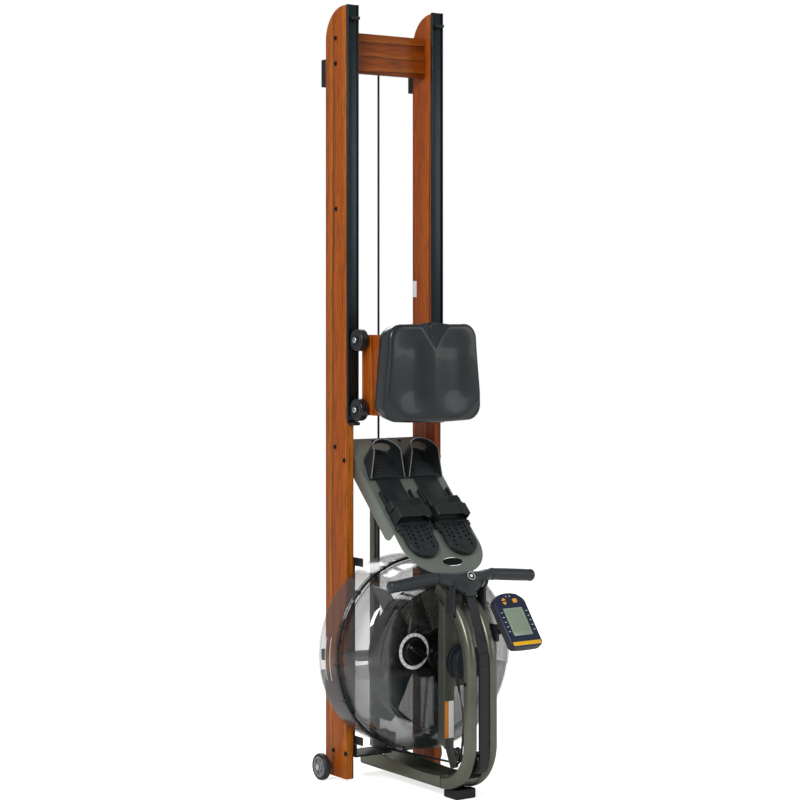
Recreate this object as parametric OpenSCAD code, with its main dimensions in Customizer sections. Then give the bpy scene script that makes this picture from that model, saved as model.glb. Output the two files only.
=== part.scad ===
// Water-resistance rowing machine with wooden rails, standing upright on its nose foot and wheels.
// Heights run up the rails. The front edges of the rails face -Y: seat, foot board and tank lie there.

/* [Rails] */
// Length of each wooden rail
rail_length = 2080; // [2000:10:2160]
// Thickness of a rail across the machine
rail_thick = 25; // [20:1:30]
// Depth of a rail from its front edge to its back edge
rail_depth = 103; // [90:1:115]
// Distance from the middle of the machine to a rail's outer face
rail_out = 157; // [150:1:165]
// Radius of the round corner at the tail of a rail
tail_radius = 88; // [60:1:95]
// Height where the seat tracks begin
track_low = 960; // [955:1:965]

/* [Seat] */
// Width of the seat cushion
cushion_w = 290; // [260:1:300]
// Height of the seat cushion along the rails
cushion_h = 255; // [220:1:270]
// Thickness of the seat cushion
cushion_t = 78; // [60:1:85]
// Radius of a seat roller
roller_r = 30; // [27:1:30]
// Height of the lower pair of seat rollers
roller_low_z = 994; // [992:1:1000]
// Height of the upper pair of seat rollers
roller_high_z = 1180; // [1170:1:1185]

/* [Tank] */
// Height of the tank's axis above the rails' lower ends
tank_z = 345; // [340:1:350]
// Outer radius of the rear bowl
bowl_r = 256; // [254:0.5:258]
// Outer radius of the flange that joins the two shells
flange_r = 260; // [259:0.5:262]
// Depth of the tank along its axis
tank_depth = 218; // [216:1:220]
// Height of the water above the rails' lower ends
water_z = 305; // [250:1:320]
// Number of paddles on the impeller
paddle_count = 6; // [3:1:8]
// Number of clamp bolts round the flange
tank_bolt_count = 16; // [8:1:24]

/* [Frame] */
// Distance from the middle to the outer side of a frame tube
tube_out = 46; // [45:1:48]
// Distance from the middle to the inner side of a frame tube
tube_in = 19; // [18.5:0.5:20]
// Depth of a frame tube in side view
tube_depth = 36; // [30:1:38]
// Height of the rubber foot and of the wheels' lowest points below the rails' ends
foot_drop = 10; // [8:1:12]

/* [Foot board] */
// Angle of the foot board against the horizontal
board_angle = 45; // [44:1:46]
// Width of the foot board
board_w = 254; // [240:1:256]
// Length of the foot board along its slope
board_l = 478; // [470:1:480]
// Distance from the middle of the machine to the middle of a footrest
rest_x = 62; // [60:1:64]
// Radius of a heel cup at the heel
cup_r = 45; // [42:0.5:48]
// Half width of a heel cup at its open end
cup_flare = 57; // [50:0.5:58]

/* [Handle] */
// Distance from the middle to the end of a grip
grip_end = 233; // [220:1:240]
// Radius of a grip
grip_r = 16; // [14:0.5:17]

/* [Console] */
// Width of the console
console_w = 98; // [90:1:110]
// Length of the console's face
console_l = 155; // [140:1:160]
// Lean of the console's face away from upright
console_lean = 37.5; // [30:0.5:45]

/* [Hidden] */
$fn = 48;
front_y = 231.4;                      // shifts the rails' front edges so that the whole sits about Y = 0
rail_in = rail_out - rail_thick;
roller_y = -6.3 - roller_r;          // axis of the seat rollers, just clear of the track floor
axle_r = 5;
run_gap = 0.05;                      // radial clearance of a running fit
seam_h = 105;                        // depth of the seam between the tank's shells
rear_bend = 18;                      // radius of the rear shell's corner
shell_t = 4;
front_r = 250;                       // outer radius of the front shell
tank_back = -2;
shaft_r = 8.5;
sweep_r = 200;                       // outer radius of the paddles
inner_r = 186;                       // outer radius of the inner smoked tank
inner_h0 = 142;
spool_hub_r = 34;
belt_w = 30;
belt_t = 1.6;
leaf_t = 1.2;
leaf_pitch = 1.5;
nose_y = -378;                       // axis of the belt's roller at the nose
nose_z = 95;
nose_r = 27;
up_arc = [-172, 330, 235];           // centre y, centre z and radius of the frame tube's upper bend
low_arc = [-277, 142, 130];          // and of its lower bend
pulley_y = 49;                       // axis of the recoil pulley
pulley_z = 88;
pulley_r = 28;                       // radius to the middle of the cord
guide_y = -285;                      // axis of the cord's guide roller
guide_z = 98;
guide_r = 22;
cord_r = 3;
wheel_y = 79;
wheel_z = 26;
wheel_r = 36;
knob_x = -90;
knob_z = 368;
board_y = 53;
board_z = 910;
sheet_t = 2.5;
cup_y = -98;                          // middle of a heel cup, down the slope from the board's top
grip_from = [86.1, -317, 568];       // inner end of a grip
grip_reach = [grip_end - 86.1, 6.6, -14.2];
grip_turn = [0, acos(grip_reach[2] / norm(grip_reach)), atan2(grip_reach[1], grip_reach[0])];
console_y = -534;
console_z = 475;
pivot_y = -507;                      // axis on which the console tilts
pivot_z = 462;
// Route of the recoil cord from the tail beam down, under the tank and up to the spool: y, z points
cord_route = [
    [0, 77, 1900], [0, 77, 1700], [0, 77, 1500], [0, 77, 1300], [0, 77, 1100], [0, 77, 900],
    [0, 77, 700], [0, 77, 500], [0, 77, 300], [0, 77, 150], [0, 77, 88], [0, 75, 77], [0, 69, 68],
    [0, 60, 62], [0, 49, 60], [0, 0, 62], [0, -100, 67], [0, -200, 72], [0, -285, 76], [0, -295, 78],
    [0, -302, 84], [0, -306, 91], [0, -307, 100], [5, -307, 150], [15, -307, 250], [26, -307, 340]];

// Route of the console's arm from the right frame tube to the pivot
arm_route = [[53, -384, 426], [56, -400, 429], [57, -425, 434], [54, -445, 440], [44, -462, 446],
    [28, -476, 453], [16, -481, 456], [6, -484, 458]];

// Places a piece drawn from the rails' front edges and lower ends into the machine's own frame.
module machine() translate([0, front_y, foot_drop]) children();

// Outline in side view (y, z), extruded across the machine from x0 to x1.
module across(x0, x1) translate([x0, 0, 0]) rotate([90, 0, 90]) linear_extrude(x1 - x0) children();

// Round bar across the machine.
module bar_x(x0, x1, y, z, r) translate([x0, y, z]) rotate([0, 90, 0]) cylinder(h = x1 - x0, r = r);

// Round bar from front to back.
module bar_y(y0, y1, x, z, r) translate([x, y0, z]) rotate([-90, 0, 0]) cylinder(h = y1 - y0, r = r);

// Rectangle about the origin with round corners.
module round_rect(w, h, r) {
    square([w - 2 * r, h], center = true);
    square([w, h - 2 * r], center = true);
    for (x = [-1, 1], y = [-1, 1])
        translate([x * (w / 2 - r), y * (h / 2 - r)]) circle(r);
}

// Both sides of the machine.
module both() {
    children();
    mirror([1, 0, 0]) children();
}

// Part of a ring between two angles (less than 180 degrees apart), angles from +y towards +z.
module ring_part(c, ro, ri, a0, a1) {
    far = 3 * ro;
    mid = (a0 + a1) / 2;
    translate([c[0], c[1]]) intersection() {
        difference() { circle(ro); circle(ri); }
        polygon([[0, 0], far * [cos(a0), sin(a0)], far * [cos(mid), sin(mid)], far * [cos(a1), sin(a1)]]);
    }
}

// Turned about the tank's axis: outline of radius and depth forwards from the tank's back face.
module turned() translate([0, tank_back, tank_z]) rotate([90, 0, 0]) rotate_extrude($fn = 96) children();

// Quarter section of a drum between two depths, its back or front edge rounded.
module drum(r, h0, h1, back_r, front_r) {
    difference() {
        translate([0, h0]) square([r, h1 - h0]);
        translate([r - back_r, h0 - 1]) difference() {
            square([back_r + 1, back_r + 1]);
            translate([0, back_r + 1]) circle(back_r);
        }
        translate([r - front_r, h1 - front_r]) difference() {
            square([front_r + 1, front_r + 1]);
            circle(front_r);
        }
    }
}

module rail() across(rail_in, rail_out) difference() {
    square([rail_depth, rail_length]);
    translate([rail_depth - tail_radius, rail_length - tail_radius]) difference() {
        square(tail_radius + 1);
        circle(tail_radius);
    }
}

module left_rail() color("peru") machine() mirror([1, 0, 0]) rail();

module right_rail() color("peru") machine() rail();

module tail_beam() color("sienna") machine()
    translate([-rail_in, 42, 1904]) cube([2 * rail_in, 25, 109]);

// Extruded track: a floor for the rollers, with an edge strip clipped on along each side.
module seat_tracks() color("#1c1d20") machine() both()
    for (bar = [[0, 35, -6, 0], [0, 3, -9, -6.05], [32, 35, -10, -6.05]])
        translate([rail_out - 35 + bar[0], bar[2], track_low])
            cube([bar[1] - bar[0], bar[3] - bar[2], rail_length - track_low]);

module rubber_feet() color("#202020") machine() both() {
    for (span = [[1868, 1943], [306, 336]])
        translate([rail_in, rail_depth, span[0]]) cube([rail_thick, 22, span[1] - span[0]]);
    translate([rail_out - 30, -24, rail_length - 42]) cube([24, 17.9, 9]);
    translate([rail_out - 30, -24, track_low - 9]) cube([24, 24, 8.9]);
}

module crossbars() color("#26282a") machine() {
    translate([-rail_in, 84, 862]) cube([2 * rail_in, 22, 34]);
    both() {
        translate([14, -8, 58.2]) cube([rail_in - 14, 80, 5]);
        translate([rail_in - 5, -8, 63.2]) cube([5, 80, 30]);
        difference() {
            translate([14, 18, 63.2]) cube([4, 60, 42]);
            bar_x(13, 19, pulley_y, pulley_z, 4);
        }
    }
}

module axle_pins() color("silver") machine() {
    both() {
        bar_x(rail_out, rail_out + 17.5, wheel_y, wheel_z, 10);
        bar_x(rail_out + 17.5, rail_out + 39, wheel_y, wheel_z, 5);
        bar_x(rail_out + 39, rail_out + 42, wheel_y, wheel_z, 8);
    }
    bar_x(-18, 18, pulley_y, pulley_z, 4);
    bar_x(-tube_in, tube_in, nose_y, nose_z, 4);
    bar_x(-16, 16, guide_y, guide_z, 4);
}

module spine_tube() color("#5c5f57") machine() difference() {
    translate([-10, 84, 58]) cube([20, 22, 804]);
    translate([-7.5, 86.5, 57]) cube([15, 17, 806]);
}

// Tapered trough along the floor, with the curved bridge that joins the two frame tubes.
module base_arm() color("#5c5f57") machine() {
    difference() {
        linear_extrude(58) polygon([[-46, -277], [46, -277], [42, 106], [-42, 106]]);
        translate([0, 0, -1]) linear_extrude(13) square([200, 900], center = true);
        translate([0, 0, 18]) linear_extrude(60) polygon([[-40, -278], [40, -278], [36, 78], [-36, 78]]);
        across(-60, 60) polygon([[-278, 48], [-200, 42], [-60, 50], [10, 58], [10, 70], [-278, 70]]);
    }
    across(-tube_in, tube_in)
        ring_part(low_arc, low_arc[2], low_arc[2] - tube_depth, 225, 270);
}

// One side tube: bend up from the floor, a straight front, and the long bend back over the tank.
module frame_tube() across(tube_in, tube_out) {
    ring_part(low_arc, low_arc[2], low_arc[2] - tube_depth, 180, 270);
    translate([low_arc[0] - low_arc[2], low_arc[1]])
        square([tube_depth, up_arc[1] - low_arc[1]]);
    ring_part(up_arc, up_arc[2], up_arc[2] - tube_depth, 112, 180);
}

module left_frame_tube() color("#5c5f57") machine() mirror([1, 0, 0]) frame_tube();

module right_frame_tube() color("#5c5f57") machine() frame_tube();

// Channel behind the tubes that carries the shaft: a web with two side flanges.
module inner_channel() color("#4c4f49") machine() difference() {
    union() {
        translate([-46, -296, 120]) cube([92, 3, 404]);
        both() {
            across(43, 46) polygon([[-296, 120], [-267, 140], [-267, 500], [-296, 524]]);
            across(20, 42) polygon([[-296, 120], [-293, 120], [-316, 72], [-319, 73.5]]);
        }
    }
    bar_y(-300, -290, 0, tank_z, 12);
    translate([-16, -300, 100]) cube([32, 20, 50]);
    translate([-14, -300, 150]) cube([42, 20, 130]);
    both() {
        bar_x(14, 24, guide_y, guide_z, 4);
        across(tube_in - 0.2, tube_out + 1)
            ring_part(up_arc, up_arc[2] + 0.2, up_arc[2] - tube_depth - 0.2, 112, 180);
    }
}

module nose_foot() color("#1b1b1b") machine() difference() {
    translate([0, -300, -foot_drop]) linear_extrude(26) round_rect(64, 60, 6);
    across(-50, 50) translate([low_arc[0], low_arc[1]]) circle(low_arc[2]);
    translate([-50, low_arc[0], 12]) cube([100, 60, 30]);
}

// Hexagon-socket bolt head on a rail's outer face.
module rail_bolt(y, z) difference() {
    bar_x(rail_out, rail_out + 3, y, z, 6.5);
    translate([rail_out + 1, y, z]) rotate([0, 90, 0]) cylinder(h = 3, r = 3, $fn = 6);
}

module frame_bolts() color("#16171a") machine() both() {
    for (p = [[52, 1995], [52, 1926], [49, 1533], [54, 890], [9, 856], [63, 70], [2, 70]])
        rail_bolt(p[0], p[1]);
    for (p = [[-318, 62], [-352, 88], [-386, 300], [-340, 470]])
        bar_x(tube_out, tube_out + 3, p[0], p[1], 5);
}

// Steel angle on the inner face of each rail, with ears that reach forward to the tank's flange.
module tank_brackets() color("#1f2123") machine() both() {
    across(rail_in - 4, rail_in)
        polygon([[-1, 117], [-40, 117], [-40, 94], [10, 94], [60, 150], [60, 540], [10, 596],
            [-40, 596], [-40, 573], [-1, 573]]);
}

module tank_rear_shell() color([0.75, 0.8, 0.82, 0.35]) machine() turned() difference() {
    union() {
        drum(bowl_r, 0, seam_h - 1, rear_bend, 0.01);
        translate([bowl_r - 4, seam_h - 7]) square([flange_r - bowl_r + 4, 6]);
    }
    difference() {
        translate([0, shell_t]) square([bowl_r - shell_t, seam_h]);
        translate([bowl_r - rear_bend, -1]) difference() {
            square([rear_bend + 1, rear_bend + 1]);
            translate([0, rear_bend + 1]) circle(rear_bend - shell_t);
        }
    }
    translate([-1, -1]) square([13, 10]);
}

module tank_front_shell() color([0.75, 0.8, 0.82, 0.35]) machine() difference() {
    turned() difference() {
        union() {
            drum(front_r, seam_h + 1, tank_depth, 0.01, 50);
            translate([front_r - 4, seam_h + 1]) square([flange_r - front_r + 4, 6]);
            translate([190, tank_depth - 1]) square([4, 4]);
        }
        difference() {
            translate([0, seam_h]) square([front_r - shell_t, tank_depth - seam_h - shell_t]);
            translate([front_r - 50, tank_depth - 50]) difference() {
                square([51, 51]);
                circle(50 - shell_t);
            }
        }
        translate([-1, tank_depth - 10]) square([37.1, 20]);
    }
    bar_y(tank_back - tank_depth - 5, tank_back - tank_depth + 10, knob_x, knob_z, 6.1);
    translate([0, -140, tank_z + front_r - 10]) cylinder(h = 20, r = 14);
}

module tank_gasket() color("#222222") machine() turned()
    translate([front_r, seam_h - 1]) square([flange_r - front_r - 1, 2]);

module tank_bolts() color("#1a1a1a") machine()
    for (k = [0 : tank_bolt_count - 1]) {
        a = (k + 0.5) * 360 / tank_bolt_count;
        bar_y(tank_back - seam_h - 10, tank_back - seam_h - 7,
            256 * cos(a), tank_z + 256 * sin(a), 3.2);
    }

module inner_tank() color([0.35, 0.35, 0.36, 0.5]) machine() difference() {
    turned() {
        translate([70.2, inner_h0]) square([inner_r - 70.2, 3]);
        translate([inner_r - 3, inner_h0]) square([3, 71.5]);
    }
}

// Black hub inside the inner tank and the neck that carries the shaft forward to the channel.
module hub_housing() color("#17181a") machine() turned() difference() {
    union() {
        translate([0, inner_h0]) square([70, 71]);
        translate([0, inner_h0]) square([36, 290.8 - inner_h0]);
    }
    translate([-1, inner_h0 - 1]) square([13, 200]);
}

module shaft_bearings() color("silver") machine() turned() {
    for (h = [0, 143, 283])
        translate([shaft_r + run_gap, h]) square([12 - shaft_r - run_gap, 7]);
}

module filler_plug() color("#1d1d1d") machine() translate([0, -140, tank_z + front_r]) {
    translate([0, 0, -6]) cylinder(h = 8, r = 13.9);
    translate([0, 0, 0.5]) cylinder(h = 6, r = 18);
}

// The water that fills the lower half round the impeller's sweep.
module water() color([0.5, 0.6, 0.62, 0.4]) machine() intersection() {
    turned() difference() {
        union() {
            difference() {
                translate([0, shell_t + 0.5]) square([bowl_r - shell_t - 0.5, seam_h - shell_t - 2]);
                translate([bowl_r - rear_bend, 0]) difference() {
                    square([rear_bend + 1, rear_bend]);
                    translate([0, rear_bend]) circle(rear_bend - shell_t - 0.5);
                }
            }
            difference() {
                translate([0, seam_h - 3]) square([front_r - shell_t - 0.5, tank_depth - seam_h - 2]);
                translate([front_r - 50, tank_depth - 50]) difference() {
                    square([51, 51]);
                    circle(50 - shell_t - 0.5);
                }
            }
        }
        translate([-1, 20]) square([sweep_r + 4, 110]);
        translate([-1, inner_h0 - 1]) square([inner_r + 2, 100]);
        translate([-1, -1]) square([13, 30]);
    }
    translate([-300, -300, 60]) cube([600, 320, water_z - 60]);
}

// Flat belt: a twisted run from the spool to the nose roller, half a turn round it, and the run in the slot.
function belt_mid(t) = [-(spool_hub_r + 4.2) * (1 - t), -327.3 * (1 - t) + (nose_y + nose_r + 2) * t,
    345 * (1 - t) + (nose_z + 2) * t];
module twisted_run() {
    steps = 12;
    ring = [for (k = [0 : steps])
        let (t = k / steps, m = belt_mid(t), a = 90 * (1 - t),
             wide = [cos(a), sin(a), 0] * (belt_w - 4) / 2, thick = [-sin(a), cos(a), 0] * belt_t / 2)
        for (c = [wide + thick, thick - wide, -wide - thick, wide - thick]) m + c];
    sides = [for (k = [0 : steps - 1], j = [0 : 3])
        let (a = 4 * k + j, b = 4 * k + (j + 1) % 4)
        each [[a, b, b + 4], [a, b + 4, a + 4]]];
    polyhedron(ring, concat([[3, 2, 1, 0]], sides, [[4 * steps, 4 * steps + 1, 4 * steps + 2,
        4 * steps + 3]]));
}
module drive_belt() color("#101112") machine() {
    twisted_run();
    across(-belt_w / 2 + 1, belt_w / 2 - 1) {
        ring_part([nose_y, nose_z], nose_r + 0.3 + belt_t, nose_r + 0.3, 180, 270);
        ring_part([nose_y, nose_z], nose_r + 0.3 + belt_t, nose_r + 0.3, 270, 358);
        translate([nose_y - nose_r - 0.3 - belt_t, nose_z]) square([belt_t, 350 - nose_z]);
    }
}

// Belt that pays out in steps behind the run in the slot as the handle is pulled.
module belt_leaf(k) across(-belt_w / 2 + 1, belt_w / 2 - 1)
    translate([nose_y - nose_r - 0.3 + k * leaf_pitch - leaf_t, 126]) square([leaf_t, 250]);
module belt_leaf_1() color("#131415") machine() belt_leaf(1);
module belt_leaf_2() color("#131415") machine() belt_leaf(2);
module belt_leaf_3() color("#131415") machine() belt_leaf(3);

// Round tube swept through a list of points; its rings are turned about the given side direction.
module swept_tube(route, radius, sides, side) {
    n = len(route);
    ring = [for (k = [0 : n - 1])
        let (a = route[max(k - 1, 0)], b = route[min(k + 1, n - 1)], d = (b - a) / norm(b - a),
             u = side - d * (side * d), u1 = u / norm(u), v = cross(d, u1))
        for (j = [0 : sides - 1])
            route[k] + radius * (cos(360 * j / sides) * u1 + sin(360 * j / sides) * v)];
    walls = [for (k = [0 : n - 2], j = [0 : sides - 1])
        let (a = sides * k + j, b = sides * k + (j + 1) % sides)
        each [[a, a + sides, b + sides], [a, b + sides, b]]];
    polyhedron(ring, concat([[for (j = [0 : sides - 1]) j]], walls,
        [[for (j = [sides - 1 : -1 : 0]) sides * (n - 1) + j]]));
}
module recoil_cord() color("#111111") machine() swept_tube(cord_route, cord_r, 8, [1, 0, 0]);

// Frame of the foot board: x across, y up the slope from the top edge, z out of the board.
module on_board() translate([0, board_y, board_z]) rotate([board_angle, 0, 0]) children();

module foot_board() color("#60635c") machine() on_board() {
    end_r = 100;
    difference() {
        translate([0, 0, -sheet_t]) linear_extrude(sheet_t) {
            translate([-board_w / 2, -board_l + end_r]) square([board_w, board_l - end_r]);
            for (s = [-1, 1]) translate([s * (board_w / 2 - end_r), -board_l + end_r]) circle(end_r);
            translate([-board_w / 2 + end_r, -board_l]) square([board_w - 2 * end_r, end_r]);
        }
        translate([0, 0, -sheet_t]) for (x = [-39, 48])
            translate([x, -12, -1]) cylinder(h = 5, r = 3);
    }
    both() translate([board_w / 2 - sheet_t, 0, 0]) rotate([90, 0, 90]) linear_extrude(sheet_t) {
        translate([-312, -42]) square([304, 42]);
        translate([-312, -21]) circle(21);
    }
}

module board_support() color("#17181a") machine() across(-70, 70)
    polygon([[-268, 583], [-200, 651], [-190, 614], [-229, 562], [-262, 551]]);

// Fixed lower half of a footrest: a perforated toe plate with side guides.
module toe_plate() {
    difference() {
        translate([0, 0, 0.1]) linear_extrude(14) {
            translate([-46, -392]) square([92, 92]);
            intersection() {
                translate([0, -378]) circle(46.5);
                translate([-46, -430]) square([92, 60]);
            }
        }
        for (row = [0 : 3], x = [-26, 26])
            translate([x + (row % 2) * 8 - 4, -316 - 18 * row, 5]) cylinder(h = 20, r = 4.5);
        translate([-39, -320, -1]) cube([78, 40, 9]);
    }
    for (x = [-50, 44.4]) translate([x, -345, 0.1]) cube([5.6, 150, 12]);
}
module toe_plates() color("#1d1f21") machine() on_board() both() translate([rest_x, 0, 0]) toe_plate();

// Wide strap with its padded band, arched over the foot plate.
module foot_straps() color("#141517") machine() on_board() both() translate([rest_x, 0, 0]) {
    for (s = [[-246, -272, 32, 3], [-276, -312, 42, 3]]) difference() {
        translate([-53, s[1], 0.2]) cube([106, s[0] - s[1], s[2]]);
        translate([-53 + s[3], s[1] - 1, -1]) cube([106 - 2 * s[3], s[0] - s[1] + 2, s[2] - s[3] + 1.2]);
    }
}

// Body of a heel cup, round at the heel and flared towards the toes, shrunk all round by inset.
module cup_body(inset, floor_h, tall, toe_h) hull() {
    translate([0, cup_y, floor_h]) cylinder(h = tall, r = cup_r - inset);
    translate([-cup_flare + inset, -150, floor_h]) cube([2 * (cup_flare - inset), 4, toe_h]);
}

// Sliding upper half of a footrest: heel cup, ribbed heel pad and flat tongue.
module heel_rest() {
    translate([-37, -300, 1]) cube([74, 152, 5]);
    difference() {
        union() {
            cup_body(0, 1, 9, 9);
            cup_body(0, 1, 59, 10);
        }
        cup_body(5.5, 10, 70, 12);
        translate([5.5 - cup_flare, -152, 10]) cube([2 * cup_flare - 11, 5, 20]);
        translate([-34, -84, 15]) cube([68, 50, 30]);
    }
    for (k = [0 : 4]) translate([-32, -142 + 11 * k, 9.9]) cube([64, 4, 2]);
}
module left_heel_rest() color("#1d1f21") machine() on_board() translate([-rest_x, 0, 0]) heel_rest();
module right_heel_rest() color("#1d1f21") machine() on_board() translate([rest_x, 0, 0]) heel_rest();

module handle_hub() color("#303437") machine() {
    both() {
        hull() {
            translate(grip_from - 1.1 * grip_reach / norm(grip_reach)) rotate(grip_turn)
                cylinder(h = 1, r = grip_r, $fn = 32);
            translate([44, -326, 560]) sphere(20, $fn = 28);
        }
        hull() {
            translate([44, -326, 560]) sphere(20, $fn = 28);
            translate([0, -333, 562]) sphere(22, $fn = 28);
            translate([0, -334, 536]) sphere(20, $fn = 28);
        }
    }
    // tail of the belt, clamped in the hub and running down into the slot
    across(-belt_w / 2 + 1, belt_w / 2 - 1) {
        tail_y = nose_y - nose_r - 0.3 + 4 * leaf_pitch;
        polygon([[tail_y - leaf_t, 130], [tail_y, 130], [tail_y, 372], [-343, 529], [-346, 531],
            [tail_y - leaf_t, 376]]);
    }
}

module handle_grips() color("#3a3e41") machine() both() translate(grip_from) rotate(grip_turn)
    rotate_extrude() {
        square([grip_r, norm(grip_reach) - 8]);
        square([grip_r - 8, norm(grip_reach)]);
        translate([grip_r - 8, norm(grip_reach) - 8]) circle(8);
    }

// Open cradle on the outer side of each frame tube, under the handle.
module handle_hooks() color("#121314") machine() both() across(tube_out, tube_out + 7) difference() {
    union() {
        ring_part([-326, 561], 30, 23.5, 180, 270);
        ring_part([-326, 561], 30, 23.5, 270, 355);
        translate([-345, 476]) square([34, 62]);
    }
    translate([-326, 561]) circle(23.5);
}

module console_arm() color("#232527") machine() {
    translate([tube_out, -398, 404]) cube([8, 30, 44]);
    difference() {
        across(-10, 10) {
            translate([pivot_y, pivot_z]) circle(9);
            translate([pivot_y, pivot_z - 8]) square([26, 13]);
        }
        bar_x(-11, 11, pivot_y, pivot_z, 4 + run_gap);
    }
    swept_tube(arm_route, 7, 12, [0, 0, 1]);
}

// Frame of the console: x across, y up its face, z out of the face.
module on_console() translate([0, console_y, console_z]) rotate([90 - console_lean, 0, 0]) children();

module console_outline() intersection() {
    round_rect(console_w, console_l, 14);
    translate([0, -console_l / 2 + 82]) circle(76);
    translate([0, console_l / 2 - 100]) circle(106);
}

module console_case() color("#17233f") machine() {
    on_console() difference() {
        translate([0, 0, -15]) linear_extrude(28) console_outline();
        translate([-29.7, -44.7, 11]) cube([59.4, 78.4, 5]);
        for (p = [[-18, 58.5], [-18, 47.5]]) translate([p[0], p[1], 4]) cylinder(h = 12, r = 6.2);
        translate([8.8, 46.8, 4]) cube([14.4, 12.4, 12]);
    }
    bar_x(-16, 16, pivot_y, pivot_z, 4);
    both() hull() {
        bar_x(11, 16, pivot_y, pivot_z, 8);
        translate([11, pivot_y - 16, pivot_z + 1]) cube([5, 4, 10]);
    }
}
module console_screen() color("#9aa893") machine() on_console()
    translate([-29, -44, 11]) cube([58, 77, 1.6]);
module key_up() color("orange") machine() on_console() translate([-18, 58.5, 6]) cylinder(h = 8.6, r = 5);
module key_down() color("orange") machine() on_console() translate([-18, 47.5, 6]) cylinder(h = 8.6, r = 5);
module key_set() color("orange") machine() on_console() translate([9.1, 47.1, 6]) cube([13.8, 11.8, 8.6]);

module impeller() color("#5b6063") machine() {
    turned() difference() {
        translate([0, 20]) square([40, 105]);
        translate([-1, 19]) square([shaft_r + 1, 120]);
    }
    for (k = [0 : paddle_count - 1])
        translate([0, tank_back - 125, tank_z]) rotate([0, k * 360 / paddle_count, 0])
            translate([39, 0, -2]) cube([sweep_r - 40, 95, 4]);
}
module impeller_shaft() color("silver") machine() bar_y(-346, tank_back - 1, 0, tank_z, shaft_r);

module adjuster_knob() color("#141414") machine() {
    bar_y(tank_back - tank_depth - 5, tank_back - tank_depth + 12, knob_x, knob_z, 6);
    bar_y(tank_back - tank_depth - 16, tank_back - tank_depth - 4.5, knob_x, knob_z, 33);
    translate([knob_x, tank_back - tank_depth - 16, knob_z]) rotate([0, 30, 0])
        translate([-33, -14, -7]) cube([66, 15, 14]);
}

module drive_spool() color("#5d6672") machine() turned() difference() {
    union() {
        for (h = [297, 309.5, 341.5]) translate([0, h]) square([45, 2]);
        translate([0, 297]) square([23, 46]);
        translate([0, 311]) square([spool_hub_r + 1.5, 31]);
    }
    translate([-1, 290]) square([shaft_r + run_gap + 1, 60]);
}

module pulley(x_half, y, z, r, groove) difference() {
    bar_x(-x_half, x_half, y, z, r + 2);
    translate([0, y, z]) rotate([0, 90, 0]) rotate_extrude($fn = 64) translate([r + groove, 0]) circle(groove);
    bar_x(-x_half - 1, x_half + 1, y, z, 4 + run_gap);
}
module nose_roller() color("#26282b") machine() difference() {
    bar_x(-17, 17, nose_y, nose_z, nose_r);
    bar_x(-18, 18, nose_y, nose_z, 4 + run_gap);
}
module recoil_pulley() color("#26282b") machine() pulley(7, pulley_y, pulley_z, pulley_r - 4.5, 4.5);
module guide_roller() color("#26282b") machine() pulley(7, guide_y, guide_z, guide_r - 4.5, 4.5);

module seat_base() color("sienna") machine() difference() {
    union() {
        both() translate([98, -97, 979]) cube([22, 76, 215]);
        translate([-120, -115, 985]) cube([240, 18, 205]);
    }
    for (z = [roller_low_z, roller_high_z]) bar_x(-130, 130, roller_y, z, axle_r);
}
module seat_cushion() color("#26292b") machine()
    translate([0, -115.2, roller_low_z + (roller_high_z - roller_low_z) / 2 + 8.5]) rotate([90, 0, 0])
        linear_extrude(cushion_t) round_rect(cushion_w, cushion_h, 40);
module seat_axles() color("silver") machine()
    for (z = [roller_low_z, roller_high_z]) {
        bar_x(-154, 154, roller_y, z, axle_r);
        both() bar_x(154, 158, roller_y, z, 9);
    }
module seat_roller(side, z) difference() {
    translate([side * 139, roller_y, z]) rotate([0, 90, 0]) cylinder(h = 26, r = roller_r, center = true);
    bar_x(-200, 200, roller_y, z, axle_r + run_gap);
}
module seat_roller_1() color("#1b1c1e") machine() seat_roller(-1, roller_low_z);
module seat_roller_2() color("#1b1c1e") machine() seat_roller(1, roller_low_z);
module seat_roller_3() color("#1b1c1e") machine() seat_roller(-1, roller_high_z);
module seat_roller_4() color("#1b1c1e") machine() seat_roller(1, roller_high_z);

module wheel() difference() {
    bar_x(rail_out + 18, rail_out + 38, wheel_y, wheel_z, wheel_r);
    bar_x(rail_out + 10, rail_out + 50, wheel_y, wheel_z, 5 + run_gap);
}
module left_wheel() color("#1f2022") machine() mirror([1, 0, 0]) wheel();
module right_wheel() color("#1f2022") machine() wheel();

left_rail();
right_rail();
tail_beam();
seat_tracks();
rubber_feet();
crossbars();
axle_pins();
spine_tube();
base_arm();
left_frame_tube();
right_frame_tube();
inner_channel();
nose_foot();
frame_bolts();
tank_brackets();
tank_rear_shell();
tank_front_shell();
tank_gasket();
tank_bolts();
inner_tank();
hub_housing();
shaft_bearings();
filler_plug();
water();
drive_belt();
recoil_cord();
foot_board();
board_support();
toe_plates();
foot_straps();
handle_hooks();
console_arm();
impeller();
impeller_shaft();
adjuster_knob();
drive_spool();
belt_leaf_1();
belt_leaf_2();
belt_leaf_3();
nose_roller();
recoil_pulley();
guide_roller();
left_heel_rest();
right_heel_rest();
handle_hub();
handle_grips();
console_case();
console_screen();
key_up();
key_down();
key_set();
seat_base();
seat_cushion();
seat_axles();
seat_roller_1();
seat_roller_2();
seat_roller_3();
seat_roller_4();
left_wheel();
right_wheel();
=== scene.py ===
"""Looks of a water-resistance rowing machine that stands upright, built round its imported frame."""

import logging
from collections.abc import Callable, Sequence
from dataclasses import dataclass, field
from enum import Enum
from math import asin, copysign, cos, degrees, exp, hypot, pi, radians, sin, sqrt

import bmesh
import bpy
from bpy.types import ID, Material, Mesh, Node, NodeSocket, NodeTree, Object
from mathutils import Matrix, Vector


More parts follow.
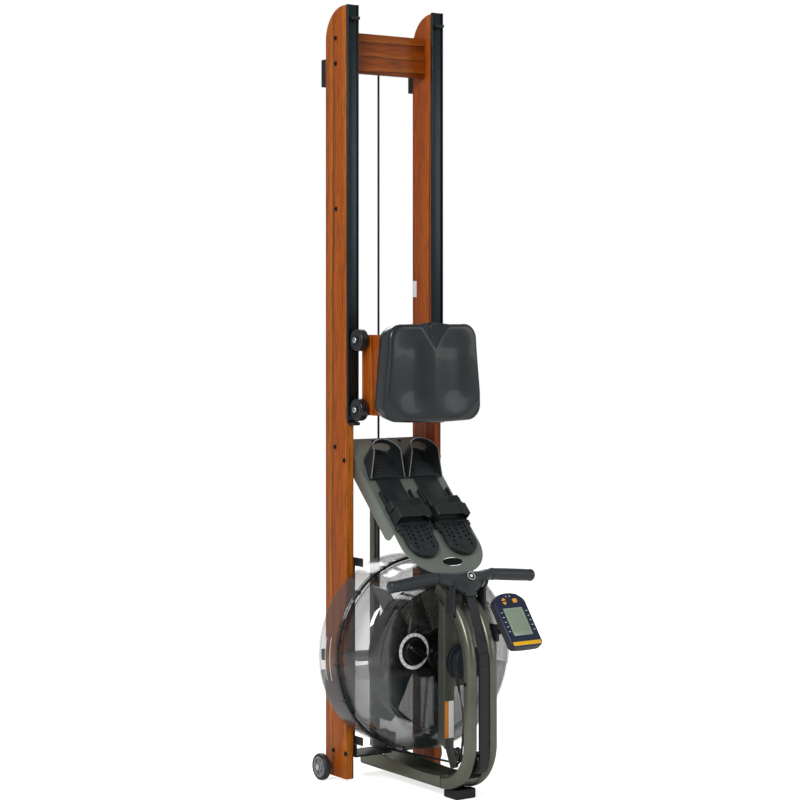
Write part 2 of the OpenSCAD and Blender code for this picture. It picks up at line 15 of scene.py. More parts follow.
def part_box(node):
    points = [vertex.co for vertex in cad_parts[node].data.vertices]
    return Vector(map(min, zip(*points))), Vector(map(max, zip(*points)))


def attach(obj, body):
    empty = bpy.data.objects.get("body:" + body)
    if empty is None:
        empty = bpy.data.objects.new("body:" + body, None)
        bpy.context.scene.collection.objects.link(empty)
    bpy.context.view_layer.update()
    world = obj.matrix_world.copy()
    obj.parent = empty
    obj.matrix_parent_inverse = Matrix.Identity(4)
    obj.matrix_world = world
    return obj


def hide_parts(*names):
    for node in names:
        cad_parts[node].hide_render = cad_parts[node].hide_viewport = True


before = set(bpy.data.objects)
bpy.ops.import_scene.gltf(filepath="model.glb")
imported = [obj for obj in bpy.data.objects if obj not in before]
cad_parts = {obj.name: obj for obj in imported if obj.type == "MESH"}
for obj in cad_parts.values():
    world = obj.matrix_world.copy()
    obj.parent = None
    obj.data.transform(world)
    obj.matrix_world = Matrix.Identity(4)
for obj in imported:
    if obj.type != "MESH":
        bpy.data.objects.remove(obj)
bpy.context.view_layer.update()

LOG = logging.getLogger("rowing_machine")
MM = 0.001
RAIL_LOW, RAIL_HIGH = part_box("right_rail")
ORIGIN = Vector((0.0, RAIL_LOW.y, RAIL_LOW.z))
RAIL_IN = RAIL_LOW.x / MM
RAIL_OUT = RAIL_HIGH.x / MM
RAIL_TOP = (RAIL_HIGH.z - RAIL_LOW.z) / MM
Outline = list[tuple[float, float]]
Place = Callable[[float, float, float], Vector]
Spots = Sequence[tuple[Vector, Vector]]


# ---- places and curves

def at(x: float, y: float, z: float) -> Vector:
    """Point in metres, from millimetres off the rails' front edges and lower ends."""
    return ORIGIN + Vector((x, y, z)) * MM


def box_mm(node: str) -> tuple[Vector, Vector]:
    """Lowest and highest corner of a CAD node, in the millimetres that at() takes."""
    low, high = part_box(node)
    return (low - ORIGIN) / MM, (high - ORIGIN) / MM


def middle(node: str) -> Vector:
    """Middle of a CAD node's box, in millimetres."""
    low, high = box_mm(node)
    return (low + high) / 2


def arc(cx: float, cy: float, r: float, a0: float, a1: float, steps: int = 8) -> Outline:
    """Points of an arc from angle a0 to a1 in degrees, both ends included."""
    angles = [radians(a0 + (a1 - a0) * k / steps) for k in range(steps + 1)]
    return [(cx + r * cos(a), cy + r * sin(a)) for a in angles]


def round_rect(w: float, h: float, r: float, steps: int = 6) -> Outline:
    """Rectangle about the origin with round corners, anticlockwise.

    Args:
        w: Width.
        h: Height.
        r: Corner radius.
        steps: Chords in each corner.

    Returns:
        The outline.
    """
    points: Outline = []
    for k, (sx, sy) in enumerate(((1, -1), (1, 1), (-1, 1), (-1, -1))):
        points += arc(sx * (w / 2 - r), sy * (h / 2 - r), r, 90 * k - 90, 90 * k, steps)
    return points


def smoothstep(a: float, b: float, x: float) -> float:
    """Smooth rise from 0 at a to 1 at b."""
    t = min(1.0, max(0.0, (x - a) / (b - a)))
    return t * t * (3 - 2 * t)


# ---- finishes

def linear(code: str, alpha: float = 1.0) -> tuple[float, float, float, float]:
    """Linear colour from an sRGB hex code.

    Args:
        code: Six hex digits after a hash.
        alpha: Alpha value.

    Returns:
        Red, green, blue and alpha.
    """
    parts = [int(code[k:k + 2], 16) / 255 for k in (1, 3, 5)]
    r, g, b = (c / 12.92 if c <= 0.04045 else ((c + 0.055) / 1.055) ** 2.4 for c in parts)
    return r, g, b, alpha


def add(tree: NodeTree, kind: str, links: dict | None = None,
        values: dict | None = None, **settings) -> Node:
    """Adds one node.

    Args:
        tree: Node tree.
        kind: Node type's name.
        links: Input name or number to the output socket that feeds it.
        values: Input name or number to its value.
        settings: The node's own settings.

    Returns:
        The node.
    """
    node = tree.nodes.new(kind)
    for key, value in settings.items():
        setattr(node, key, value)
    for key, value in (values or {}).items():
        node.inputs[key].default_value = value
    for key, socket in (links or {}).items():
        tree.links.new(socket, node.inputs[key])
    return node


def ramp(tree: NodeTree, factor: NodeSocket, stops: Sequence[tuple[float, str]]) -> NodeSocket:
    """Colour ramp over a factor.

    Args:
        tree: Node tree.
        factor: Socket that drives it.
        stops: Position and hex colour of each stop.

    Returns:
        The colour socket.
    """
    node = add(tree, "ShaderNodeValToRGB", {0: factor})
    elements = node.color_ramp.elements
    while len(elements) < len(stops):
        elements.new(0.5)
    for element, (position, code) in zip(elements, stops):
        element.position = position
        element.color = linear(code)
    return node.outputs[0]


@dataclass(frozen=True)
class Finish:
    """Any finish: a principled surface with its base values.

    Attributes:
        name: Material's name, as a maker would say it.
        colour: Main sRGB colour.
        roughness: Roughness of the surface.
        metallic: 1 for bare metal.
        ior: Refraction index, kept at the default on metals.
        coat: Weight of a clear coat.
        shine: Level of the mirrored light, 0.5 being a plain surface's.
    """
    name: str
    colour: str
    roughness: float = 0.5
    metallic: float = 0.0
    ior: float = 1.5
    coat: float = 0.0
    shine: float = 0.5

    def make(self) -> Material:
        """Builds the material.

        Returns:
            The material with its pattern.
        """
        material = bpy.data.materials.new(self.name)
        material.use_nodes = True
        tree = material.node_tree
        shader = tree.nodes["Principled BSDF"]
        shader.inputs["Base Color"].default_value = linear(self.colour)
        shader.inputs["Roughness"].default_value = self.roughness
        shader.inputs["Metallic"].default_value = self.metallic
        if not self.metallic:
            shader.inputs["IOR"].default_value = self.ior
        shader.inputs["Coat Weight"].default_value = self.coat
        shader.inputs["Specular IOR Level"].default_value = self.shine
        self.pattern(tree, shader)
        return material

    def pattern(self, tree: NodeTree, shader: Node) -> None:
        """Adds the finish's own pattern; plain finishes have none."""

    def bump(self, tree: NodeTree, shader: Node, height: NodeSocket, depth: float,
            strength: float = 1.0) -> None:
        """Bumps the surface by a pattern from 0 to 1, over a depth in millimetres."""
        node = add(tree, "ShaderNodeBump", {"Height": height},
            {"Distance": depth * MM, "Strength": strength})
        tree.links.new(node.outputs[0], shader.inputs["Normal"])


@dataclass(frozen=True)
class Grained(Finish):
    """Moulded, cast or powder-coated surface: a fine grain, soft mottling and worn roughness.

    Attributes:
        grain: Spacing of the grain in millimetres, drawn no finer than shows.
        depth: Depth of the grain in millimetres.
        mottle: Second colour of a broad, faint mottling.
        mottle_size: Size of the mottling in millimetres.
        spread: How far the roughness wanders.
    """
    grain: float = 1.2
    depth: float = 0.03
    mottle: str = ""
    mottle_size: float = 60.0
    spread: float = 0.08

    def pattern(self, tree: NodeTree, shader: Node) -> None:
        """Adds grain, mottling and roughness wander.

        Args:
            tree: Node tree.
            shader: Principled node.
        """
        place = add(tree, "ShaderNodeTexCoord").outputs["Object"]
        fine = add(tree, "ShaderNodeTexNoise", {"Vector": place},
            {"Scale": 1 / (self.grain * MM), "Detail": 3.0})
        broad = add(tree, "ShaderNodeTexNoise", {"Vector": place}, {"Scale": 1 / (self.mottle_size * MM),
            "Detail": 4.0})
        colour = ramp(tree, broad.outputs[0], [(0.35, self.colour), (0.7, self.mottle or self.colour)])
        tree.links.new(colour, shader.inputs["Base Color"])
        rough = add(tree, "ShaderNodeMapRange", {0: broad.outputs[0]},
            {1: 0.3, 2: 0.7, 3: self.roughness - self.spread, 4: self.roughness + self.spread})
        tree.links.new(rough.outputs[0], shader.inputs["Roughness"])
        self.bump(tree, shader, fine.outputs[0], self.depth)


@dataclass(frozen=True)
class StainedAsh(Finish):
    """Stained and varnished ash: cathedral growth rings, dark open pores and slow colour drift.

    Attributes:
        dark: Colour of the late wood and pores.
        light: Colour of the early wood.
        ring: Spacing of the growth rings in millimetres.
        shift: Moves the pattern so that two boards differ, in millimetres.
        figure: How much the rings wander into cathedral shapes.
        across: True for a board whose grain runs across the machine, false for up it.
    """
    dark: str = "#7a3410"
    light: str = "#d07a34"
    ring: float = 9.0
    shift: tuple[float, float, float] = (0.0, 0.0, 0.0)
    figure: float = 6.0
    across: bool = False

    def pattern(self, tree: NodeTree, shader: Node) -> None:
        """Adds rings, pores and drift.

        Args:
            tree: Node tree.
            shader: Principled node.
        """
        place = add(tree, "ShaderNodeTexCoord").outputs["Object"]
        offset = [v * MM for v in self.shift]
        # a ring is a long way along the board and short across it
        long, fibre = [(k, 1.0, 1.0) if self.across else (1.0, 1.0, k) for k in (0.055, 0.022)]
        board = add(tree, "ShaderNodeMapping", {0: place}, {1: offset, 3: long})
        warp = add(tree, "ShaderNodeTexNoise", {0: board.outputs[0]},
            {"Scale": 7.0, "Detail": 2.5, "Roughness": 0.45})
        warped = add(tree, "ShaderNodeMixRGB", {1: board.outputs[0], 2: warp.outputs["Color"]}, {0: 0.075},
            blend_type="ADD")
        rings = add(tree, "ShaderNodeTexWave", {0: warped.outputs[0]}, {"Scale": 1 / (self.ring * MM) / 20,
            "Distortion": self.figure, "Detail": 2.0, "Detail Scale": 1.2}, wave_type="RINGS",
            rings_direction="X" if self.across else "Z", wave_profile="SAW")
        pores_place = add(tree, "ShaderNodeMapping", {0: place}, {1: offset, 3: fibre})
        pores = add(tree, "ShaderNodeTexNoise", {0: pores_place.outputs[0]},
            {"Scale": 620.0, "Detail": 3.0, "Roughness": 0.6})
        drift = add(tree, "ShaderNodeTexNoise", {0: board.outputs[0]}, {"Scale": 16.0, "Detail": 3.0})
        base = ramp(tree, rings.outputs[1], [(0.0, self.light), (0.4, self.colour), (0.78, self.colour),
            (1.0, self.dark)])
        drifted = add(tree, "ShaderNodeMixRGB", {0: drift.outputs[0], 1: base,
            2: ramp(tree, drift.outputs[0], [(0.3, self.dark), (0.75, self.light)])}, blend_type="MIX")
        softer = add(tree, "ShaderNodeMixRGB", {1: base, 2: drifted.outputs[0]}, {0: 0.4})
        lines = ramp(tree, pores.outputs[0], [(0.38, "#6c6c6c"), (0.52, "#ffffff")])
        final = add(tree, "ShaderNodeMixRGB", {1: softer.outputs[0], 2: lines}, {0: 0.7},
            blend_type="MULTIPLY")
        tree.links.new(final.outputs[0], shader.inputs["Base Color"])
        self.bump(tree, shader, pores.outputs[0], 0.06, 0.5)


@dataclass(frozen=True)
class Clear(Finish):
    """Clear moulded sheet: faint in the middle, denser at its turned-away rim, with a gloss on top.

    Attributes:
        face: Opacity seen straight on.
        rim: Opacity seen edge on.
        rim_colour: Colour towards the rim.
        blend: How soon the rim begins.
        haze: Opacity added by scattered water marks.
        mark: Size of those marks in millimetres.
        gloss: Strength of the mirrored light on the surface.
        level: Height in metres under which it looks clearer, or 0 for none.
        below: Share of the opacity left under that height.
    """
    face: float = 0.15
    rim: float = 0.8
    rim_colour: str = "#3c4042"
    blend: float = 0.35
    haze: float = 0.0
    mark: float = 70.0
    gloss: float = 0.0
    level: float = 0.0
    below: float = 1.0

    def pattern(self, tree: NodeTree, shader: Node) -> None:
        """Adds the rim's opacity and the water marks.

        Args:
            tree: Node tree.
            shader: Principled node.
        """
        weight = add(tree, "ShaderNodeLayerWeight", None, {0: self.blend})
        colour = ramp(tree, weight.outputs[1], [(0.1, self.colour), (0.95, self.rim_colour)])
        tree.links.new(colour, shader.inputs["Base Color"])
        opacity = add(tree, "ShaderNodeMapRange", {0: weight.outputs[1]},
            {1: 0.0, 2: 1.0, 3: self.face, 4: self.rim})
        result = opacity.outputs[0]
        if self.haze:
            place = add(tree, "ShaderNodeTexCoord").outputs["Object"]
            marks = add(tree, "ShaderNodeTexNoise", {0: place},
                {"Scale": 1 / (self.mark * MM), "Detail": 3.0})
            cloud = add(tree, "ShaderNodeMapRange", {0: marks.outputs[0]},
                {1: 0.45, 2: 0.75, 3: 0.0, 4: self.haze})
            result = add(tree, "ShaderNodeMath", {0: result, 1: cloud.outputs[0]}, operation="ADD",
                use_clamp=True).outputs[0]
        if self.level:
            place = add(tree, "ShaderNodeTexCoord").outputs["Object"]
            height = add(tree, "ShaderNodeSeparateXYZ", {0: place}).outputs["Z"]
            share = add(tree, "ShaderNodeMapRange", {0: height},
                {1: self.level - 6 * MM, 2: self.level + 6 * MM, 3: self.below, 4: 1.0})
            result = add(tree, "ShaderNodeMath", {0: result, 1: share.outputs[0]},
                operation="MULTIPLY").outputs[0]
        tree.links.new(result, shader.inputs["Alpha"])
        if self.gloss:
            shine = add(tree, "ShaderNodeBsdfGlossy", None,
                {"Roughness": self.roughness, "Color": (self.gloss,) * 3 + (1.0,)})
            both = add(tree, "ShaderNodeAddShader", {0: shader.outputs[0], 1: shine.outputs[0]})
            tree.links.new(both.outputs[0], tree.nodes["Material Output"].inputs[0])


@dataclass(frozen=True)
class Woven(Finish):
    """Woven nylon: crossing yarns drawn at a width that still shows, with painted shade in the dips between
    them.

    Attributes:
        yarn: Yarn spacing in millimetres.
        twill: Angle of the weave's diagonal in degrees.
        raised: Height of the yarns in millimetres.
        gap: Painted shade between the yarns: the darker colour drawn in the dips where the yarns cross.
    """
    yarn: float = 1.6
    twill: float = 45.0
    raised: float = 0.25
    gap: str = "#121517"

    def pattern(self, tree: NodeTree, shader: Node) -> None:
        """Adds the yarns, with painted shade between them.

        Args:
            tree: Node tree.
            shader: Principled node.
        """
        place = add(tree, "ShaderNodeTexCoord").outputs["Object"]
        heights = []
        for direction, turn in (("X", 0.0), ("Z", self.twill)):
            spun = add(tree, "ShaderNodeMapping", {0: place}, {2: (0.0, radians(turn), 0.0)})
            heights.append(add(tree, "ShaderNodeTexWave", {0: spun.outputs[0]},
                {"Scale": 1 / (self.yarn * MM) / 20, "Distortion": 0.4}, bands_direction=direction))
        both = add(tree, "ShaderNodeMath", {0: heights[0].outputs[1], 1: heights[1].outputs[1]},
            operation="MULTIPLY")
        # painted shade: where the yarns dip, the colour falls to the darker gap colour
        colour = ramp(tree, both.outputs[0], [(0.0, self.gap), (1.0, self.colour)])
        tree.links.new(colour, shader.inputs["Base Color"])
        self.bump(tree, shader, both.outputs[0], self.raised, 0.7)


@dataclass(frozen=True)
class Brushed(Finish):
    """Turned or anodised metal with fine lines along one direction.

    Attributes:
        along: Direction of the lines as a stretch of the pattern.
        line: Spacing of the lines in millimetres.
    """
    along: tuple[float, float, float] = (1.0, 1.0, 0.02)
    line: float = 0.8

    def pattern(self, tree: NodeTree, shader: Node) -> None:
        """Adds the lines to roughness and bump.

        Args:
            tree: Node tree.
            shader: Principled node.
        """
        place = add(tree, "ShaderNodeTexCoord").outputs["Object"]
        stretched = add(tree, "ShaderNodeMapping", {0: place}, {3: self.along})
        lines = add(tree, "ShaderNodeTexNoise", {0: stretched.outputs[0]},
            {"Scale": 1 / (self.line * MM), "Detail": 2.0})
        rough = add(tree, "ShaderNodeMapRange", {0: lines.outputs[0]},
            {1: 0.3, 2: 0.7, 3: self.roughness - 0.06, 4: self.roughness + 0.08})
        tree.links.new(rough.outputs[0], shader.inputs["Roughness"])
        self.bump(tree, shader, lines.outputs[0], 0.01, 0.4)


@dataclass(frozen=True)
class Paper(Finish):
    """Backdrop paper that glows faintly to the eye, so that it stays pale far from the lamps.

    Attributes:
        glow: Strength of the glow.
    """
    glow: float = 0.5

    def pattern(self, tree: NodeTree, shader: Node) -> None:
        """Adds the glow for camera rays only.

        Args:
            tree: Node tree.
            shader: Principled node.
        """
        seen = add(tree, "ShaderNodeLightPath").outputs["Is Camera Ray"]
        power = add(tree, "ShaderNodeMapRange", {0: seen}, {3: 0.0, 4: self.glow})
        tree.links.new(power.outputs[0], shader.inputs["Emission Strength"])
        shader.inputs["Emission Color"].default_value = linear(self.colour)


class Skin(Enum):
    """Every finish on the machine, by the piece or stuff it is."""
    LEFT_RAIL = StainedAsh("stained_ash_left_rail", "#b2540f", 0.46, coat=0.04, shine=0.22, dark="#6f2f06",
        light="#cb7420", shift=(40.0, 0.0, 300.0))
    RIGHT_RAIL = StainedAsh("stained_ash_right_rail", "#ab4e12", 0.46, coat=0.04, shine=0.22, dark="#672b08",
        light="#c16820", shift=(-90.0, 30.0, 0.0), figure=11.0)
    BEAM = StainedAsh("stained_ash_beam", "#93440d", 0.46, coat=0.03, shine=0.22, dark="#5a2505",
        light="#ab5c17", shift=(0.0, 70.0, 500.0), figure=9.0, across=True)
    SEAT_WOOD = StainedAsh("stained_ash_seat_block", "#ae4e0a", 0.42, coat=0.06, shine=0.25, dark="#6b2b05",
        light="#c96c1a", ring=7.0, shift=(60.0, 20.0, 90.0), figure=8.0)
    TRACK = Brushed("black_anodised_aluminium", "#2c3337", 0.3, 0.8)
    PEWTER = Grained("pewter_powder_coat", "#747869", 0.33, 0.75, grain=0.9, depth=0.012, mottle="#686b5e",
        mottle_size=140.0, spread=0.05)
    # painted light: a lighter copy of the pewter coat for the foot board, standing in for the light its
    # sloped face reflects
    BOARD_PAINTED_LIGHT = Grained("pewter_powder_coat_board_painted_light", "#878f87", 0.4, 0.5, grain=0.9, depth=0.012,
        mottle="#7b827b", mottle_size=160.0, spread=0.05)
    # painted shade: a darker copy of the pewter coat for the channel set back between the tubes
    CHANNEL_PAINTED_SHADE = Grained("pewter_powder_coat_channel_painted_shade", "#5b5e56", 0.42, 0.45, grain=0.9, depth=0.015,
        mottle="#50534b", mottle_size=120.0, spread=0.05)
    BLACK_STEEL = Grained("black_powder_coat", "#17191b", 0.42, 0.2, grain=1.0, mottle="#202326")
    RUBBER = Grained("black_rubber", "#121314", 0.62, grain=1.6, depth=0.05, mottle="#1a1b1c")
    BRIGHT = Brushed("zinc_plated_steel", "#c9cbcd", 0.24, 1.0, along=(1.0, 1.0, 1.0), line=2.0)
    CHROME = Finish("chromed_rim", "#e6e8ea", 0.1, 1.0)
    BOLT = Grained("black_oxide_bolt", "#0e0f10", 0.32, 0.6, grain=1.0, depth=0.01)
    SHELL = Clear("clear_polycarbonate", "#3e4346", 0.06, face=0.10, rim=0.6, rim_colour="#4a5054",
        blend=0.25, gloss=0.03)
    FRONT_SHELL = Clear("smoke_tinted_polycarbonate", "#1d1c1c", 0.06, face=0.24, rim=0.7,
        rim_colour="#33373a", blend=0.3, gloss=0.05, level=0.315, below=0.55)
    FLANGE = Clear("clear_polycarbonate_flange", "#34393c", 0.14, face=0.25, rim=0.7, rim_colour="#14171a",
        blend=0.4, gloss=0.03)
    SMOKE = Clear("smoked_polycarbonate", "#0d0c0d", 0.12, face=0.76, rim=0.97, rim_colour="#070708",
        blend=0.35, gloss=0.05, level=0.315, below=0.3)
    WATER = Clear("water", "#24363d", 0.03, ior=1.33, face=0.42, rim=0.7, rim_colour="#0c1417", blend=0.4,
        gloss=0.012)
    SURFACE = Clear("water_surface", "#525e62", 0.02, ior=1.33, face=0.3, rim=0.7, rim_colour="#a9b3b6",
        blend=0.5, gloss=0.05)
    # the drops are real; their pale olive colour is painted highlight standing in for the light that clear
    # water drops catch
    DROPS_PAINTED_HIGHLIGHT = Clear("water_drops_painted_highlight", "#74766c", 0.05, ior=1.33, face=0.55, rim=0.8, rim_colour="#3a3b36",
        blend=0.4, gloss=0.09)
    FOG = Clear("condensation", "#97988b", 0.5, face=0.4, rim=0.6, rim_colour="#97988b", haze=0.6, mark=3.4)
    HUB = Grained("moulded_hub_gloss", "#080809", 0.2, shine=0.3, grain=4.0, depth=0.01, mottle="#0d0c0d",
        spread=0.03)
    MOULDED = Grained("moulded_black_nylon", "#23282a", 0.46, grain=1.3, depth=0.05, mottle="#1c2022")
    HEEL = Grained("moulded_heel_rest", "#1c2325", 0.4, grain=1.4, depth=0.05, mottle="#1e2325")
    # painted shade: the gap colours of the woven finishes are drawn in the dips between their yarns
    BELT = Woven("woven_drive_webbing", "#2c2f31", 0.6, yarn=1.5, raised=0.05, gap="#1a1c1e")
    STRAP = Woven("woven_foot_strap", "#23292c", 0.6, yarn=1.3, raised=0.03)
    CORD = Woven("braided_recoil_cord", "#1c1d1f", 0.62, yarn=2.0)
    PADDLE = Grained("moulded_paddle", "#525b60", 0.3, grain=3.0, depth=0.02)
    SPOOL = Grained("moulded_spool", "#262b33", 0.38, grain=1.5, depth=0.02, mottle="#20252c")
    HANDLE = Grained("soft_moulded_handle", "#2a3033", 0.38, grain=1.1, depth=0.02, mottle="#303536",
        mottle_size=90.0, spread=0.05)
    GRIP = Grained("soft_grip_rubber", "#252b2e", 0.42, grain=1.0, depth=0.035, mottle="#2a3033")
    SEAT = Grained("moulded_foam_skin", "#161d20", 0.33, coat=0.2, grain=1.7, depth=0.05, mottle="#1b2326",
        mottle_size=70.0, spread=0.05)
    NAVY = Grained("navy_console_shell", "#0f1d38", 0.33, depth=0.02, mottle="#12213e")
    BACK = Grained("black_console_back", "#14171c", 0.4)
    GREY = Grained("grey_console_base", "#7b7d80", 0.45, mottle="#6f7174")
    LCD = Finish("liquid_crystal", "#8fa08a", 0.16, coat=0.4)
    LCD_DARK = Finish("liquid_crystal_segments", "#5e6f60", 0.3)
    YELLOW = Grained("yellow_stripe", "#f2b70e", 0.4, depth=0.01)
    ORANGE = Grained("orange_key", "#f0a72c", 0.42, grain=1.0, depth=0.02)
    WHITE = Finish("white_print", "#eef0f0", 0.45)
    BADGE = Finish("black_badge_enamel", "#050506", 0.4, shine=0.2)
    LABEL_ORANGE = Finish("orange_label_film", "#e2862a", 0.4)
    LABEL_WHITE = Finish("white_label_film", "#e9eaea", 0.45)
    ROLLER = Grained("moulded_roller", "#191b1d", 0.34, depth=0.02, mottle="#1f2224")
    TYRE = Grained("moulded_tyre", "#2a2f32", 0.46, depth=0.04, mottle="#23282a")
    SPOKE = Grained("moulded_grey_hub", "#8c9194", 0.4, depth=0.02)
    FLOOR = Paper("studio_floor", "#fbfbfa", 0.85, glow=0.72)

    @property
    def material(self) -> Material:
        """The finish's material, made at its first use."""
        found = bpy.data.materials.get(self.value.name)
        return found or self.value.make()


# ---- meshes

def linked(name: str, data: ID) -> Object:
    """Puts a mesh, a lamp or a camera into the scene as an object at the origin."""
    obj = bpy.data.objects.new(name, data)
    bpy.context.scene.collection.objects.link(obj)
    return obj


def smoothed(obj: Object, sharp: float) -> Object:
    """Shades an object smooth, apart from edges turned by more than some degrees."""
    obj.data.shade_smooth()
    obj.data.set_sharp_from_angle(angle=radians(sharp))
    return obj


def new_piece(name: str, verts: Sequence[Vector], faces: Sequence[Sequence[int]], skin: Skin,
        sharp: float = 35.0) -> Object:
    """Makes a mesh object with merged points, outward faces and smooth shading.

    Args:
        name: Piece's name.
        verts: Points in metres.
        faces: Faces as lists of point numbers.
        skin: Its finish.
        sharp: Edges turned by more than this many degrees stay sharp.

    Returns:
        The object, at the origin.
    """
    mesh = bpy.data.meshes.new(name)
    mesh.from_pydata([tuple(v) for v in verts], [], [list(f) for f in faces])
    tidy_mesh(mesh, sharp)
    mesh.materials.append(skin.material)
    return linked(name, mesh)


def tidy_mesh(mesh: Mesh, sharp: float) -> None:
    """Merges doubles, turns faces outwards and shades the mesh smooth between sharp edges.

    Args:
        mesh: The mesh to mend.
        sharp: Angle in degrees above which an edge stays sharp.
    """
    bm = bmesh.new()
    bm.from_mesh(mesh)
    bmesh.ops.remove_doubles(bm, verts=bm.verts, dist=1e-6)
    bmesh.ops.dissolve_degenerate(bm, dist=1e-7, edges=bm.edges)
    bmesh.ops.recalc_face_normals(bm, faces=bm.faces)
    bm.to_mesh(mesh)
    bm.free()
    mesh.shade_smooth()
    mesh.set_sharp_from_angle(angle=radians(sharp))


def baked(obj: Object) -> Object:
    """Replaces the object's mesh by its evaluated one and drops the modifiers."""
    graph = bpy.context.evaluated_depsgraph_get()
    mesh = bpy.data.meshes.new_from_object(obj.evaluated_get(graph))
    obj.modifiers.clear()
    obj.data = mesh
    return obj


def bevelled(obj: Object, width: float, segments: int = 3, angle: float = 30.0) -> Object:
    """Rounds a piece's sharp edges.

    Args:
        obj: The piece.
        width: Bevel width in millimetres.
        segments: Chords across the bevel.
        angle: Only edges turned by more than this many degrees are rounded.

    Returns:
        The same piece.
    """
    modifier = obj.modifiers.new("edges", "BEVEL")
    modifier.width = width * MM
    modifier.segments = segments
    modifier.limit_method = "ANGLE"
    modifier.angle_limit = radians(angle)
    return smoothed(baked(obj), 40)


def cut_away(obj: Object, cutter: Object) -> Object:
    """Cuts a shape out of a piece; the cutter is used up."""
    modifier = obj.modifiers.new("window", "BOOLEAN")
    modifier.object, modifier.operation, modifier.solver = cutter, "DIFFERENCE", "EXACT"
    baked(obj)
    bpy.data.objects.remove(cutter)
    return smoothed(obj, 40)


def joined(name: str, parts: Sequence[Object]) -> Object:
    """Joins pieces of one body into one object.

    Args:
        name: Name of the result.
        parts: The pieces; they are used up.

    Returns:
        The joined object.
    """
    with bpy.context.temp_override(active_object=parts[0], selected_editable_objects=list(parts)):
        bpy.ops.object.join()
    parts[0].name = name
    return parts[0]


def prism(name: str, outline: Outline, place: Place, low: float, high: float, skin: Skin, bevel: float = 0.0,
        segments: int = 3) -> Object:
    """Solid with the same outline all along.

    Args:
        name: Piece's name.
        outline: Closed outline.
        place: Turns outline point and height into a place in metres.
        low: Height of one end.
        high: Height of the other end.
        skin: Its finish.
        bevel: Edge rounding in millimetres.
        segments: Chords across the rounding.

    Returns:
        The object.
    """
    n = len(outline)
    verts = [place(a, b, h) for h in (low, high) for a, b in outline]
    faces = [[k, (k + 1) % n, n + (k + 1) % n, n + k] for k in range(n)]
    faces += [list(range(n))[::-1], list(range(n, 2 * n))]
    obj = new_piece(name, verts, faces, skin)
    return bevelled(obj, bevel, segments) if bevel else obj


def side_on(y: float, z: float, x: float) -> Vector:
    """Places a side-view outline: its height runs across the machine."""
    return at(x, y, z)


def block(name: str, low: Sequence[float], high: Sequence[float], skin: Skin, bevel: float = 1.0) -> Object:
    """Straight block between two corners in millimetres, with rounded edges."""
    outline = [(low[0], low[1]), (high[0], low[1]), (high[0], high[1]), (low[0], high[1])]
    return prism(name, outline, at, low[2], high[2], skin, bevel)


def loose_block(name: str, low: Sequence[float], high: Sequence[float], skin: Skin, bevel: float) -> Object:
    """Block measured from the origin, for a part that is repeated."""
    obj = block(name, low, high, skin, bevel)
    obj.data.transform(Matrix.Translation(-ORIGIN))
    return obj


def quads(rings: int, n: int, spans: int, sides: int) -> list[list[int]]:
    """Four-sided faces across some sides and spans of rings that hold n points each."""
    return [[k * n + j, k * n + (j + 1) % n, (k + 1) % rings * n + (j + 1) % n,
        (k + 1) % rings * n + j] for k in range(spans) for j in range(sides)]


def lofted(name: str, rings: Sequence[Sequence[Vector]], skin: Skin, closed: bool = False,
        sharp: float = 35.0) -> Object:
    """Skin over a row of rings with the same number of points.

    Args:
        name: Piece's name.
        rings: The rings in order, in metres.
        skin: Its finish.
        closed: Joins the last ring to the first; otherwise both ends are capped.
        sharp: Angle above which edges stay sharp.

    Returns:
        The object.
    """
    n = len(rings[0])
    verts = [v for ring in rings for v in ring]
    faces = quads(len(rings), n, len(rings) - (0 if closed else 1), n)
    if not closed:
        faces += [list(range(n))[::-1], list(range(len(verts) - n, len(verts)))]
    return new_piece(name, verts, faces, skin, sharp)


def swept(name: str, path: Sequence[Vector], section: Outline, side: Vector, skin: Skin,
        closed: bool = False, bevel: float = 0.0) -> Object:
    """Section carried along a path, its first axis kept near a side direction.

    Args:
        name: Piece's name.
        path: Points in metres.
        section: Outline in millimetres.
        side: Direction of the section's first axis.
        skin: Its finish.
        closed: The path is a loop.
        bevel: Rounding of the end caps in millimetres.

    Returns:
        The object.
    """
    rings = []
    count = len(path)
    for k, point in enumerate(path):
        before = path[(k - 1) % count] if closed else path[max(k - 1, 0)]
        after = path[(k + 1) % count] if closed else path[min(k + 1, count - 1)]
        ahead = (after - before).normalized()
        across = (side - ahead * side.dot(ahead)).normalized()
        over = ahead.cross(across)
        rings.append([point + across * (a * MM) + over * (b * MM) for a, b in section])
    obj = lofted(name, rings, skin, closed)
    return bevelled(obj, bevel, 3, 60) if bevel else obj


def mirrored(half: Outline) -> Outline:
    """Half a profile, followed by its mirror image across the middle."""
    return half + [(r, -h) for r, h in reversed(half)]


def circle(r: float, steps: int = 24) -> Outline:
    """Round section of radius r."""
    return arc(0, 0, r, 0, 360 - 360 / steps, steps - 1)


def turned(name: str, profile: Outline, centre: Vector, axis: Vector, skin: Skin, steps: int = 96,
        closed: bool = True, sharp: float = 35.0) -> Object:
    """Body of revolution.

    Args:
        name: Piece's name.
        profile: Points as radius and distance along the axis, in millimetres.
        centre: Where the distance is zero, in metres.
        axis: Direction of the axis.
        skin: Its finish.
        steps: Number of chords round.
        closed: The profile is a loop; otherwise it starts and ends on the axis.
        sharp: Angle above which edges stay sharp.

    Returns:
        The object.
    """
    out = axis.orthogonal().normalized()
    over = axis.cross(out)
    rings = []
    for k in range(steps):
        a = 2 * pi * k / steps
        spoke = out * cos(a) + over * sin(a)
        rings.append([centre + spoke * (r * MM) + axis * (h * MM) for r, h in profile])
    n = len(profile)
    faces = quads(steps, n, steps, n if closed else n - 1)
    return new_piece(name, [v for ring in rings for v in ring], faces, skin, sharp)


